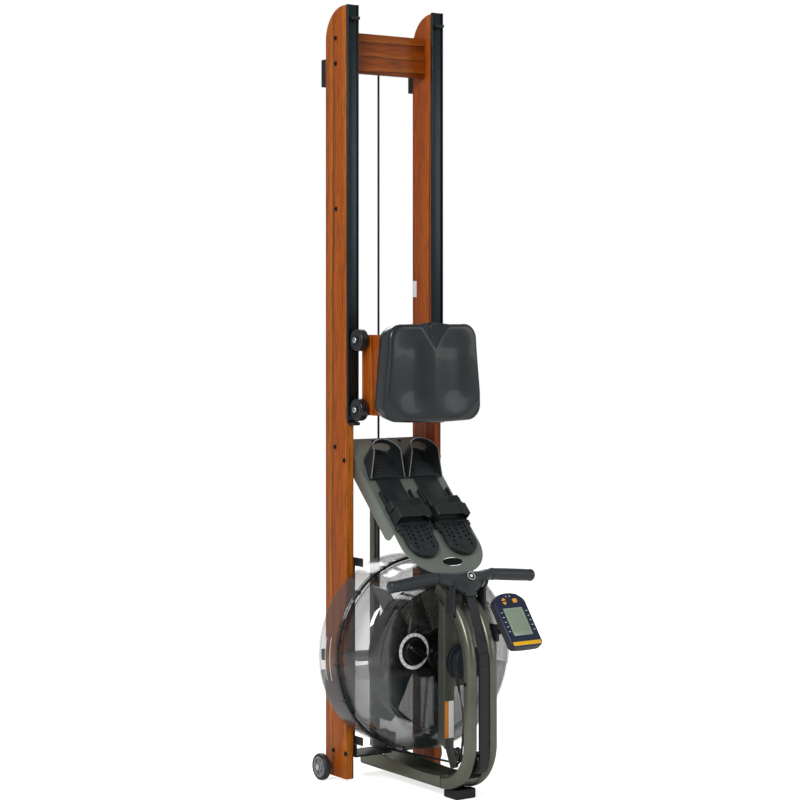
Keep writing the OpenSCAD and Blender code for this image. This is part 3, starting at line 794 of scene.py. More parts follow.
def softened(node: str, name: str, skin: Skin, width: float, slot: str, segments: int = 2,
        body: str = "frame") -> Object:
    """Copy of a CAD node with merged faces and rounded edges, which rides and stands for the node.

    Args:
        node: CAD node.
        name: Piece's name.
        skin: Its finish.
        width: Edge rounding in millimetres.
        slot: Material slot's name, passed on to placed, which does not use it.
        segments: Chords across the rounding.
        body: Body that it rides on.

    Returns:
        The new piece.
    """
    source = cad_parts[node]
    mesh = source.data.copy()
    mesh.name = name
    bm = bmesh.new()
    bm.from_mesh(mesh)
    bmesh.ops.remove_doubles(bm, verts=bm.verts, dist=2e-6)
    bmesh.ops.dissolve_limit(bm, angle_limit=radians(1.0), verts=bm.verts, edges=bm.edges)
    bm.to_mesh(mesh)
    bm.free()
    mesh.materials.clear()
    mesh.materials.append(skin.material)
    return placed(bevelled(linked(name, mesh), width, segments, 35), body, slot, node)


def placed(obj: Object, body: str, slot: str, *nodes: str) -> Object:
    """Rides a piece on its body and hides the CAD nodes that it stands for.

    Args:
        obj: The piece.
        body: Body's name.
        slot: Material slot's name; not used.
        nodes: CAD nodes that it replaces.

    Returns:
        The same piece.
    """
    if nodes:
        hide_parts(*nodes)
    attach(obj, body)
    LOG.info("%s rides on %s with %d faces", obj.name, body, len(obj.data.polygons))
    return obj


# ---- repeats by Geometry Nodes

@dataclass
class Nodes:
    """A Geometry Nodes group that is run on an object and then made into plain mesh.

    Attributes:
        name: Group's name.
        inputs: Input name to its socket type and value.
    """
    name: str
    inputs: dict[str, tuple[str, object]]
    tree: NodeTree = field(init=False)
    keys: dict[str, str] = field(init=False, default_factory=dict)

    def __post_init__(self) -> None:
        """Makes the group with its sockets."""
        self.tree = bpy.data.node_groups.new(self.name, "GeometryNodeTree")
        face = self.tree.interface
        face.new_socket("Geometry", in_out="INPUT", socket_type="NodeSocketGeometry")
        for label, (kind, _) in self.inputs.items():
            self.keys[label] = face.new_socket(label, in_out="INPUT", socket_type=kind).identifier
        face.new_socket("Geometry", in_out="OUTPUT", socket_type="NodeSocketGeometry")

    def run(self, obj: Object) -> Object:
        """Runs the group on an object and keeps the result as its mesh.

        Args:
            obj: The object.

        Returns:
            The same object.
        """
        modifier = obj.modifiers.new(self.name, "NODES")
        modifier.node_group = self.tree
        for label, (_, value) in self.inputs.items():
            modifier[self.keys[label]] = value
        return baked(obj)


def copies_on(tree: NodeTree, points: NodeSocket, template: NodeSocket, turn: NodeSocket,
        scale: NodeSocket | None = None) -> NodeSocket:
    """Instances a template object on points and realises the copies.

    Args:
        tree: Geometry Nodes tree.
        points: Points socket.
        template: Object socket.
        turn: Rotation socket.
        scale: Scale socket, if copies differ in size.

    Returns:
        The geometry socket of the copies.
    """
    info = add(tree, "GeometryNodeObjectInfo", {"Object": template})
    links = {"Points": points, "Instance": info.outputs["Geometry"], "Rotation": turn}
    if scale:
        links["Scale"] = scale
    copies = add(tree, "GeometryNodeInstanceOnPoints", links)
    return add(tree, "GeometryNodeRealizeInstances", {0: copies.outputs[0]}).outputs[0]


def facing_turn(tree: NodeTree) -> NodeSocket:
    """Rotation that turns Z to the points' attribute named facing."""
    facing = add(tree, "GeometryNodeInputNamedAttribute", None, {"Name": "facing"}, data_type="FLOAT_VECTOR")
    return add(tree, "FunctionNodeAlignRotationToVector", {"Vector": facing.outputs["Attribute"]},
        axis="Z").outputs[0]


def spots_object(name: str, spots: Spots) -> Object:
    """Object of loose points, each with a facing direction.

    Args:
        name: Object's name.
        spots: Place and direction of each point.

    Returns:
        The object.
    """
    mesh = bpy.data.meshes.new(name)
    mesh.from_pydata([tuple(p) for p, _ in spots], [], [])
    facing = mesh.attributes.new("facing", "FLOAT_VECTOR", "POINT")
    for k, (_, direction) in enumerate(spots):
        facing.data[k].vector = direction
    return linked(name, mesh)


def dressed(group: Nodes, given: Node, copies: NodeSocket, host: Object, template: Object) -> Object:
    """Gives the copies their finish, ends the group, runs it on its host and drops the template.

    Args:
        group: The group under way.
        given: Its input node.
        copies: Socket of the realised copies.
        host: Object that becomes the copies.
        template: The part; it is used up.

    Returns:
        The host.
    """
    ends = add(group.tree, "GeometryNodeSetMaterial",
        {"Geometry": copies, "Material": given.outputs["Finish"]})
    add(group.tree, "NodeGroupOutput", {0: ends.outputs[0]})
    group.run(host)
    bpy.data.objects.remove(template)
    return host


def repeated(name: str, template: Object, spots: Spots, skin: Skin) -> Object:
    """Copies of a small part, made about the origin, set at spots by Geometry Nodes.

    Args:
        name: Piece's name.
        template: The part; it is used up.
        spots: Place and direction of each copy.
        skin: Finish of the copies.

    Returns:
        One plain mesh object with every copy.
    """
    group = Nodes(name, {"Part": ("NodeSocketObject", template),
        "Finish": ("NodeSocketMaterial", skin.material)})
    tree = group.tree
    given = add(tree, "NodeGroupInput")
    copies = copies_on(tree, given.outputs[0], given.outputs["Part"], facing_turn(tree))
    return dressed(group, given, copies, spots_object(name, spots), template)


def droplets(name: str, surface: Object, template: Object, density: float, seed: int, skin: Skin) -> Object:
    """Water drops scattered over a surface by Geometry Nodes.

    Args:
        name: Piece's name.
        surface: Surface that holds them; it is used up.
        template: One drop; it is used up.
        density: Drops per square metre.
        seed: Seed of the scatter.
        skin: Finish of the drops.

    Returns:
        One plain mesh object with every drop.
    """
    group = Nodes(name, {"Part": ("NodeSocketObject", template), "Density": ("NodeSocketFloat", density),
        "Seed": ("NodeSocketInt", seed), "Finish": ("NodeSocketMaterial", skin.material)})
    tree = group.tree
    given = add(tree, "NodeGroupInput")
    scatter = add(tree, "GeometryNodeDistributePointsOnFaces",
        {"Mesh": given.outputs[0], "Density": given.outputs["Density"], "Seed": given.outputs["Seed"]})
    size = add(tree, "FunctionNodeRandomValue", {"Seed": given.outputs["Seed"]})
    size.inputs[2].default_value = 0.35
    size.inputs[3].default_value = 1.3
    copies = copies_on(tree, scatter.outputs["Points"], given.outputs["Part"], scatter.outputs["Rotation"],
        size.outputs[1])
    return dressed(group, given, copies, surface, template)


def perforated(plate: Object, cutter: Object, spots: Spots) -> Object:
    """Cuts the same hole at many spots of a plate by Geometry Nodes.

    Args:
        plate: The plate.
        cutter: Shape of one hole, made about the origin; it is used up.
        spots: Place and direction of each hole.

    Returns:
        The same plate, cut.
    """
    holes = spots_object("holes", spots)
    group = Nodes("perforation", {"Cutter": ("NodeSocketObject", cutter),
        "Holes": ("NodeSocketObject", holes)})
    tree = group.tree
    given = add(tree, "NodeGroupInput")
    where = add(tree, "GeometryNodeObjectInfo", {"Object": given.outputs["Holes"]})
    cutters = copies_on(tree, where.outputs["Geometry"], given.outputs["Cutter"], facing_turn(tree))
    cut = add(tree, "GeometryNodeMeshBoolean", {0: given.outputs[0], 1: cutters}, operation="DIFFERENCE",
        solver="EXACT")
    add(tree, "NodeGroupOutput", {0: cut.outputs[0]})
    group.run(plate)
    bpy.data.objects.remove(cutter)
    bpy.data.objects.remove(holes)
    return smoothed(plate, 30)


# ---- small parts and frames of axes

LEFT, FRONT, UP = Vector((-1, 0, 0)), Vector((0, -1, 0)), Vector((0, 0, 1))
RIGHT = -LEFT


@dataclass(frozen=True)
class Slope:
    """Tilted frame of axes: x across the machine, y up a slope and z out of it.

    Attributes:
        y: Front-to-back place of its origin in millimetres.
        z: Height of its origin in millimetres.
        turn: Turn about the across axis in degrees.
    """
    y: float
    z: float
    turn: float

    @property
    def up(self) -> Vector:
        """Direction up the slope."""
        a = radians(self.turn)
        return Vector((0, cos(a), sin(a)))

    @property
    def out(self) -> Vector:
        """Direction out of the slope."""
        a = radians(self.turn)
        return Vector((0, -sin(a), cos(a)))

    def __call__(self, x: float, u: float, w: float) -> Vector:
        """Place in metres of a point across, up and out by millimetres."""
        return at(x, self.y, self.z) + (self.up * u + self.out * w) * MM

    def moved(self, x: float = 0.0, u: float = 0.0, w: float = 0.0) -> Place:
        """The same axes from another origin, moved across, up and out by millimetres."""
        return lambda a, b, h: self(x + a, u + b, w + h)


def socket_bolt(name: str, r: float, h: float, skin: Skin, socket: float = 0.45) -> Object:
    """Button bolt head with a hexagon socket, about the origin and facing Z.

    Args:
        name: Object's name.
        r: Head radius in millimetres.
        h: Head height in millimetres.
        skin: Its finish.
        socket: Socket's radius as a share of the head's.

    Returns:
        The object.
    """
    centre = Vector((0, 0, 0))
    rings = []
    for radius, height, sides in ((r, 0, 24), (r, 0.35 * h, 24), (0.86 * r, 0.8 * h, 24), (0.66 * r, h, 24),
            (socket * r, h, 6), (socket * r, 0.3 * h, 6)):
        ring = []
        for k in range(24):
            a = 2 * pi * k / 24
            if sides == 6:
                part = (a % (pi / 3)) - pi / 6
                reach = radius * cos(pi / 6) / cos(part)
            else:
                reach = radius
            ring.append(centre + Vector((reach * cos(a), reach * sin(a), height)) * MM)
        rings.append(ring)
    return lofted(name, rings, skin)


def dome(name: str, r: float, h: float, skin: Skin, steps: int = 20) -> Object:
    """Shallow round dome about the origin, facing Z."""
    profile = [(0.0, 0.0), (r, 0.0)] + [(r * cos(a), h * sin(a)) for a in (0.3, 0.6, 0.9, 1.2)] + [(0.0, h)]
    return turned(name, profile, Vector((0, 0, 0)), UP, skin, steps, closed=False)


def disc(name: str, profile: Outline, place: Vector, axis: Vector, skin: Skin, steps: int = 64) -> Object:
    """Turned piece whose profile starts and ends on its axis."""
    return turned(name, profile, place, axis, skin, steps, closed=False)


# ---- sub-assemblies

@dataclass
class Rails:
    """Two wooden rails, the beam between their tails, tracks, feet and bolts.

    Attributes:
        depth: Rail's depth front to back in millimetres.
        tail_radius: Radius of the tail's rear corner.
        edge: Rounding of the long edges.
        bolts: Places of the bolts as depth and height.
        frame_bolts: Places of the bolts on the frame tubes.
        tube_out: Distance from the middle to a frame tube's outer face.
    """
    depth: float = 103.0
    tail_radius: float = 88.0
    edge: float = 3.0
    bolts: tuple[tuple[float, float], ...] = ((52, 1995), (52, 1926), (49, 1533), (54, 890), (9, 856),
        (63, 70), (2, 70))
    frame_bolts: tuple[tuple[float, float], ...] = ((-318, 62), (-352, 88), (-386, 300), (-340, 470))
    tube_out: float = 46.0

    def build(self) -> None:
        """Makes every piece of the rails."""
        r, d, top = self.tail_radius, self.depth, RAIL_TOP
        outline = [(0, 0), (d, 0)] + arc(d - r, top - r, r, 0, 90, 24) + [(0, top)]
        for name, node, low, high, skin in (("right_rail_board", "right_rail", RAIL_IN, RAIL_OUT,
                Skin.RIGHT_RAIL), ("left_rail_board", "left_rail", -RAIL_OUT, -RAIL_IN, Skin.LEFT_RAIL)):
            board = prism(name, outline, side_on, low, high, skin, self.edge, 4)
            placed(board, "frame", "rail_ash", node)
        softened("tail_beam", "tail_beam_board", Skin.BEAM, 3, "beam_ash", 4)
        softened("seat_tracks", "track_profiles", Skin.TRACK, 0.7, "track_black", 2)
        softened("rubber_feet", "feet_and_stops", Skin.RUBBER, 2.5, "rubber_black", 3)
        softened("crossbars", "cross_plates", Skin.BLACK_STEEL, 1.5, "steel_black")
        softened("axle_pins", "axle_ends", Skin.BRIGHT, 0.5, "steel_bright")
        sides = ((RAIL_OUT, RIGHT), (-RAIL_OUT, LEFT))
        heads = repeated("rail_bolt_heads", socket_bolt("head", 6.5, 3, Skin.BOLT),
            [(at(x, y, z), way) for x, way in sides for y, z in self.bolts], Skin.BOLT)
        tube = repeated("tube_bolt_heads", socket_bolt("head", 5, 3, Skin.BOLT),
            [(at(s * self.tube_out, y, z), RIGHT * s) for s in (-1, 1) for y, z in self.frame_bolts],
            Skin.BOLT)
        placed(joined("bolt_heads", [heads, tube]), "frame", "steel_black", "frame_bolts")
        label = block("blank_label", (RAIL_IN - 0.25, 82, 1297), (RAIL_IN + 0.1, 100, 1342),
            Skin.LABEL_WHITE, 0.05)
        placed(label, "frame", "rail_ash")


@dataclass
class Seat:
    """Rolling seat: moulded pad, wooden block, axles and four rollers.

    Attributes:
        width: Pad's width in millimetres.
        height: Pad's height up the rails.
        thickness: Pad's thickness.
        corner: Radius of the pad's corners.
        crown: Rounding of the pad's rim.
        roller_r: Radius of a roller.
        roller_w: Width of a roller.
    """
    width: float = 297.0
    height: float = 255.0
    thickness: float = 78.0
    corner: float = 38.0
    crown: float = 13.0
    roller_r: float = 30.0
    roller_w: float = 26.0

    def relief(self, u: float, v: float) -> float:
        """Depth that the pad's face falls below its rim at a point.

        Args:
            u: Across from the pad's middle.
            v: Up from the pad's middle.

        Returns:
            The depth in millimetres.
        """
        lobe = 7.5 * exp(-((abs(u) - 66) / 44) ** 2) * smoothstep(-118, -40, v) * smoothstep(125, 60, v)
        notch = 0.34 * max(0, v - 56 - abs(u) * 1.4)
        corner = min(12, 0.36 * max(0, hypot(u, v - 40) - 176))
        crown = 4 * (u / 145) ** 2 + 3 * (v / 127) ** 2
        return lobe + notch + corner + crown

    def pad(self) -> Object:
        """Makes the moulded pad as one closed skin.

        Returns:
            The pad.
        """
        low, high = box_mm("seat_cushion")
        mid = (low.z + high.z) / 2
        base = high.y
        edge = round_rect(self.width, self.height, self.corner, 16)
        dense: Outline = []
        for k, (a, b) in enumerate(edge):
            c, d = edge[(k + 1) % len(edge)]
            cuts = max(1, round(hypot(c - a, d - b) / 7))
            dense += [(a + (c - a) * j / cuts, b + (d - b) * j / cuts) for j in range(cuts)]

        def ring(shrink: Callable[[float], float], out: Callable[[float, float], float]) -> list[Vector]:
            """One ring of the pad: each point drawn inwards by a share, at a height of its own."""
            points = []
            for u, v in dense:
                share = shrink(hypot(u, v))
                u, v = u * share, v * share
                wide = 1.07 - 0.12 * smoothstep(-127, 127, v)
                middle_in = 5 * smoothstep(0, 127, v) * (1 - smoothstep(0, 60, abs(u)))
                belly = 6 * (1 - (u / 148) ** 2) * smoothstep(0, -127, v) - middle_in
                points.append(at(u * wide, base - out(u, v), mid + v - belly))
            return points

        wall_top = self.thickness - self.crown - 4
        rings = [ring(lambda r, s=share: s, lambda u, v, h=height: h) for share,
            height in ((0.9, 0), (0.925, 5), (0.95, 18), (0.975, 38), (1, wall_top))]
        for k in range(1, 9):
            a = pi / 2 * k / 8
            inset = self.crown * (1 - cos(a))
            rise = wall_top + (self.crown + 4) * sin(a)
            rings.append(ring(lambda r: 1 - inset / r, lambda u, v: rise - self.relief(u, v) * sin(a) ** 1.5))
        for k in range(1, 30):
            rings.append(ring(lambda r: (1 - self.crown / r) * (1 - k / 30), lambda u,
                v: self.thickness - self.relief(u, v)))
        return lofted("seat_pad", rings, Skin.SEAT, sharp=60)

    def roller(self, number: int, side: int, y: float, z: float) -> None:
        """Makes one barrel roller.

        Args:
            number: Roller's number.
            side: -1 on the left, 1 on the right.
            y: Axis front to back.
            z: Axis height.
        """
        r, w = self.roller_r, self.roller_w
        profile = mirrored([(6, -w / 2 + 3), (13, -w / 2 + 3), (15, -w / 2 + 0.5),
            (22, -w / 2 + 0.5)] + arc(r - 6, -w / 2 + 6, 6, -90, 0, 5))
        body = turned(f"roller_{number}_barrel", profile, at(139 * side, y, z), RIGHT * side, Skin.ROLLER,
            64)
        placed(body, f"seat_roller_{number}", "roller_black", f"seat_roller_{number}")

    def build(self) -> None:
        """Makes every piece of the seat."""
        pad = placed(self.pad(), "seat", "seat_foam", "seat_cushion")
        softened("seat_base", "seat_block", Skin.SEAT_WOOD, 7, "seat_wood", 5, body="seat")
        low, high = box_mm("seat_axles")
        axis_y = (low.y + high.y) / 2
        number = 1
        rods = []
        for z in (low.z + 9, high.z - 9):
            for side in (-1, 1):
                self.roller(number, side, axis_y, z)
                number += 1
            rods.append(turned("rod", [(0, -154), (5, -154), (5, 154), (0, 154)], at(0, axis_y, z), RIGHT,
                Skin.BRIGHT, 24, closed=False))
        caps = repeated("axle_caps", socket_bolt("cap", 8.6, 4.4, Skin.BRIGHT, 0.5),
            [(at(153.6 * s, axis_y, z), RIGHT * s) for s in (-1, 1) for z in (low.z + 9, high.z - 9)],
            Skin.BRIGHT)
        placed(joined("axles_and_caps", rods + [caps]), "seat", "steel_bright", "seat_axles")


@dataclass
class Tank:
    """Clear water tank with its seam, inner tank, hub, dial ring, water and drops.

    Attributes:
        rear_r: Outer radius of the rear shell in millimetres.
        front_r: Outer radius of the front shell.
        wall: Thickness of the shells.
        seam: Depth of the seam from the back.
        depth: Depth of the whole tank.
        rear_bend: Radius of the rear shell's corner.
        front_bend: Radius of the front shell's corner.
        flange: Radius of the flanges.
        inner_r: Radius of the inner tank.
        inner_start: Depth at which the inner tank begins.
        hub_r: Radius of the hub.
        axis_y: Place of the tank's back, front to back.
        axis_z: Height of the tank's axis.
        clips: Number of clips round the seam.
        blades: Number of paddles.
        water_drop: How far the water's level is under the axis.
        dial_x: Place of the dial's middle across the machine.
        dial_z: Height of the dial's middle.
        dial_mark_r: Radius at which the dial's marks stand.
    """
    rear_r: float = 256.0
    front_r: float = 250.0
    wall: float = 4.0
    seam: float = 105.0
    depth: float = 218.0
    rear_bend: float = 18.0
    front_bend: float = 50.0
    flange: float = 260.0
    inner_r: float = 186.0
    inner_start: float = 142.0
    hub_r: float = 70.0
    water_drop: float = 40.0
    axis_y: float = -2.0
    axis_z: float = 345.0
    clips: int = 16
    blades: int = 6
    dial_x: float = -90.0
    dial_z: float = 368.0
    dial_mark_r: float = 42.7

    def place(self, r: float, angle: float, h: float) -> Vector:
        """Place at a radius, an angle and a depth forward of the tank's back."""
        a = radians(angle)
        return at(r * cos(a), self.axis_y - h, self.axis_z + r * sin(a))

    def shape(self, name: str, profile: Outline, skin: Skin, steps: int = 160,
            closed: bool = True) -> Object:
        """Body of revolution about the tank's axis from radius and depth points."""
        return turned(name, profile, at(0, self.axis_y, self.axis_z), FRONT, skin, steps, closed=closed,
            sharp=40)

    def shells(self) -> None:
        """Makes the two clear shells with their flanges."""
        t, rr, fr = self.wall, self.rear_r, self.front_r
        b, c = self.rear_bend, self.front_bend
        outer = arc(rr - b, b, b, -90, 0, 8)
        inner = arc(rr - b, b, b - t, 0, -90, 8)
        rear = [(12.5, 0)] + outer + [(rr, self.seam - 8), (rr - t, self.seam - 8)] + inner + [(12.5, t)]
        placed(self.shape("rear_shell", rear, Skin.SHELL), "frame", "tank_clear", "tank_rear_shell")
        front = [(fr, self.seam + 8)] + arc(fr - c, self.depth - c, c, 0, 90, 12)
        front += [(195.5, self.depth), (194, self.depth + 2.6), (190, self.depth + 2.6), (188.5, self.depth),
            (36.3, self.depth), (36.3, self.depth - t)]
        front += arc(fr - c, self.depth - c, c - t, 90, 0, 12) + [(fr - t, self.seam + 8)]
        placed(self.shape("front_shell", front, Skin.FRONT_SHELL), "frame", "tank_clear", "tank_front_shell")
        s = self.seam
        for name, lo, hi, r0 in (("rear_flange", s - 8, s - 1, rr - t),
                ("front_flange", s + 1, s + 8, fr - t)):
            ring = [(r0, lo), (self.flange - 1.5, lo), (self.flange, lo + 1.5), (self.flange, hi - 1),
                (self.flange - 1, hi), (r0, hi)]
            placed(self.shape(name, ring, Skin.FLANGE), "frame", "tank_clear")
        seal = [(fr + 0.5, s - 1), (self.flange - 2.5, s - 1), (self.flange - 2.5, s + 1), (fr + 0.5, s + 1)]
        placed(self.shape("seam_seal", seal, Skin.RUBBER), "frame", "rubber_black", "tank_gasket")

    def fittings(self) -> None:
        """Makes the seam's bolts and clips, the filler plug and the brackets."""
        step = 360 / self.clips
        bolts = repeated("seam_bolts", socket_bolt("bolt", 3.6, 2.6, Skin.BOLT),
            [(self.place(255.5, (k + 0.5) * step, self.seam + 8), FRONT) for k in range(self.clips)],
            Skin.BOLT)
        clip = loose_block("clip", (-4, -7, -8.6), (4, 2.2, 8.6), Skin.MOULDED, 1)
        spots = []
        for k in range(self.clips):
            a = radians(k * step + 3)
            spots.append((self.place(self.flange - 1.2, k * step + 3, self.seam),
                Vector((cos(a), 0, sin(a)))))
        rolled = repeated("seam_clips", self.upright(clip), spots, Skin.MOULDED)
        placed(joined("seam_bolts_and_clips", [bolts, rolled]), "frame", "steel_black", "tank_bolts")
        softened("tank_brackets", "bracket_plates", Skin.BLACK_STEEL, 1.5, "steel_black")
        place = at(0, -140, self.axis_z + self.front_r)
        plug = disc("filler_cap", [(0, -6), (13.6, -6), (13.6, 0.4), (18, 0.4), (18, 5), (16.6, 6.5),
            (10, 6.5), (9, 5), (0, 5)], place, UP, Skin.MOULDED, 48)
        placed(plug, "frame", "rubber_black", "filler_plug")

    @staticmethod
    def upright(clip: Object) -> Object:
        """Turns a clip so that its flat lies across the seam: its Z is outwards and its Y along Y."""
        clip.data.transform(Matrix(((1, 0, 0, 0), (0, 0, 1, 0), (0, 1, 0, 0), (0, 0, 0, 1))))
        clip.data.flip_normals()
        return clip

    def inside(self) -> None:
        """Makes the inner tank, the hub, its neck and bearings."""
        h0, r = self.inner_start, self.inner_r
        cup = [(self.hub_r + 0.3, h0), (r - 6, h0)] + arc(r - 6, h0 + 6, 6, -90, 0, 5)
        cup += [(r, 213.4), (r - 3, 213.4), (r - 3, h0 + 6)] + arc(r - 6, h0 + 6, 3, 0, -90, 4)
        cup += [(self.hub_r + 0.3, h0 + 3)]
        placed(self.shape("inner_tank_cup", cup, Skin.SMOKE, 128), "frame", "tank_smoke", "inner_tank")
        hub = [(12.2, h0), (66, h0)] + arc(64, h0 + 6, 6, -90, 0, 5) + arc(62, 205, 8, 0, 90, 6)
        hub += [(44, 213)] + arc(44, 221, 8, -90, -180, 6) + [(36, 284)]
        hub += arc(30, 284.8, 6, 0, 90, 5) + [(12.2, 290.8)]
        placed(self.shape("hub_body", hub, Skin.HUB, 96), "frame", "hub_black", "hub_housing")
        softened("shaft_bearings", "bearing_rings", Skin.BRIGHT, 0.3, "steel_bright")
        rod = [(0, 1), (8.1, 1), (8.5, 1.6), (8.5, 343), (7.7, 344), (0, 344)]
        placed(self.shape("impeller_rod", rod, Skin.BRIGHT, 32, closed=False), "impeller", "steel_bright",
            "impeller_shaft")
        wheel = [(8.6, 20), (34, 20), (40, 28), (40, 117), (34, 125), (8.6, 125)]
        body = self.shape("impeller_wheel", wheel, Skin.PADDLE, 64)
        centre = at(0, self.axis_y, self.axis_z)
        blades = []
        hub_r, tip_r, spans = 38, 200, 12
        for k in range(self.blades):
            a = 2 * pi * k / self.blades
            spoke, side = Vector((cos(a), 0, -sin(a))), Vector((sin(a), 0, cos(a)))
            rows = []
            for j in range(spans + 1):
                reach = hub_r + (tip_r - hub_r) * j / spans
                lean = 10 * sin((reach - hub_r) / (tip_r - hub_r) * pi / 2) - 4
                low, high = (36, 119) if j in (0, spans) else (30, 125)
                corners = ((low, -1.8), (high, -1.8), (high, 1.8), (low, 1.8))
                rows.append([centre + (spoke * reach + FRONT * h + side * (lean * (h - 77) / 60 + t)) * MM
                             for h, t in corners])
            blades.append(lofted("blade", rows, Skin.PADDLE))
        placed(joined("impeller_blades", [body] + blades), "impeller", "paddle_grey", "impeller")

    def dial(self) -> None:
        """Makes the printed dial ring on the face, the scale lines and the knob."""
        here = at(self.dial_x, self.axis_y - self.depth, self.dial_z)
        ring = [(38.5, 0), (47, 0), (47, 0.7), (38.5, 0.7)]
        white = turned("dial_ring", ring, here, FRONT, Skin.WHITE, 72)
        ticks = loose_block("tick", (-0.7, -3.2, 0), (0.7, 3.2, 0.35), Skin.BADGE, 0.05)
        ticks.data.transform(Matrix(((1, 0, 0, 0), (0, 0, -1, 0), (0, 1, 0, 0), (0, 0, 0, 1))))
        marks = []
        for k in range(17):
            a = radians(-52 + 18 * k)
            mark = linked("mark", ticks.data.copy())
            mark.data.transform(Matrix.Rotation(-a + pi / 2, 4, "Y"))
            mark.data.transform(Matrix.Translation(here + Vector((self.dial_mark_r * cos(a), -0.62,
                self.dial_mark_r * sin(a))) * MM))
            marks.append(mark)
        bpy.data.objects.remove(ticks)
        placed(joined("dial_marks", marks), "frame", "rest_black")
        placed(white, "frame", "tank_clear")
        knob = [(0, 4.6), (31, 4.6), (33, 6), (33, 12.5), (31.5, 14.2), (26, 15.2), (0, 15.2)]
        body = disc("knob_body", knob, here, FRONT, Skin.BOLT, 72)
        stem = disc("knob_stem", [(0, -12), (5.9, -12), (5.9, 5), (0, 5)], here, FRONT, Skin.MOULDED, 32)
        rings = []
        for k in range(25):
            u = -31 + 62 * k / 24
            wide = 7 * sqrt(max(0.05, 1 - (abs(u) / 33) ** 4))
            high = 12.5 * sqrt(max(0.03, 1 - (abs(u) / 32) ** 6))
            ring = []
            for a, b in round_rect(2 * wide, high + 2, min(wide, high) * 0.55, 4):
                ring.append(Vector((u, -14 - (high + 2) / 2 - b, a)))
            rings.append(ring)
        turn = Matrix.Rotation(radians(30), 4, "Y")
        rings = [[here + (turn @ p) * MM for p in ring] for ring in rings]
        grip = lofted("knob_grip", rings, Skin.HUB)
        placed(joined("adjuster", [body, stem, grip]), "adjuster_knob", "rest_black", "adjuster_knob")
        lines = []
        for k, tall in enumerate((0, 1)):
            path = [self.place(self.rear_r + 0.2, a, 48 + 22 * k) for a in [168 + 3.2 * j for j in range(9)]]
            lines.append(swept(f"scale_{tall}", path, [(-0.9, -0.15), (0.9, -0.15), (0.9, 0.25),
                (-0.9, 0.25)], FRONT, Skin.WHITE))
        placed(joined("level_scale", lines), "frame", "tank_clear")

    def water(self) -> None:
        """Makes the water and the drops above it."""
        t, gap = self.wall, 0.6
        rr, fr = self.rear_r - t - gap, self.front_r - t - gap
        b, c = self.rear_bend - t - gap, self.front_bend - t - gap
        stations = arc(rr - b, b + t + gap, b, -78, 0, 10)
        stations += [(rr, self.seam - 0.5), (fr, self.seam + 0.5)]
        stations += arc(fr - c, self.depth - c - t - gap, c, 0, 80, 6)
        rings = []
        for r, h in stations:
            a0 = degrees(asin(self.water_drop / r))
            ring = [self.place(r, 180 + a0 + (180 - 2 * a0) * k / 40, h) for k in range(41)]
            left, right = ring[0], ring[-1]
            ring += [right.lerp(left, k / 14) for k in range(1, 14)]
            rings.append(ring)
        body = lofted("tank_water", rings, Skin.WATER)
        body.data.materials.append(Skin.SURFACE.material)
        for face in body.data.polygons:
            if face.normal.z > 0.95 and face.center.z > at(0, 0, self.axis_z - self.water_drop - 1).z:
                face.material_index = 1
        placed(body, "frame", "water_clear", "water")
        for name, r0, r1, a0, a1, h, density, seed in (("face_drops", 80.0, 182.0, 2, 178,
                self.depth - t - 0.4, 22000.0, 3), ("rim_drops", 196.0, 214.0, 0, 180, self.depth - t - 0.6,
                2500.0, 8)):
            fan = []
            for k in range(37):
                a = a0 + (a1 - a0) * k / 36
                fan.append([self.place(r0, a, h), self.place(r1, a, h)])
            verts = [v for pair in fan for v in pair]
            faces = [[2 * k, 2 * k + 1, 2 * k + 3, 2 * k + 2] for k in range(36)]
            mesh = bpy.data.meshes.new(name)
            mesh.from_pydata([tuple(v) for v in verts], [], faces)
            surface = linked(name, mesh)
            drop = dome("drop", 1.5, 0.9, Skin.DROPS_PAINTED_HIGHLIGHT, 7)
            drops = droplets(name, surface, drop, density, seed, Skin.DROPS_PAINTED_HIGHLIGHT)
            drops.visible_shadow = False
            placed(drops, "frame", "water_clear")

    def mist(self) -> None:
        """Makes the thin sheet of condensation inside the upper half of the face."""
        h = self.depth - self.wall - 0.9
        rows = []
        for a in range(3, 112, 4):
            rows.append([self.place(78, a, h), self.place(184, a, h), self.place(184, a, h - 0.25),
                self.place(78, a, h - 0.25)])
        sheet = lofted("condensation", rows, Skin.FOG)
        sheet.visible_shadow = False
        placed(sheet, "frame", "water_clear")

    def build(self) -> None:
        """Makes every piece of the tank."""
        self.shells()
        self.fittings()
        self.inside()
        self.dial()
        self.water()
        self.mist()


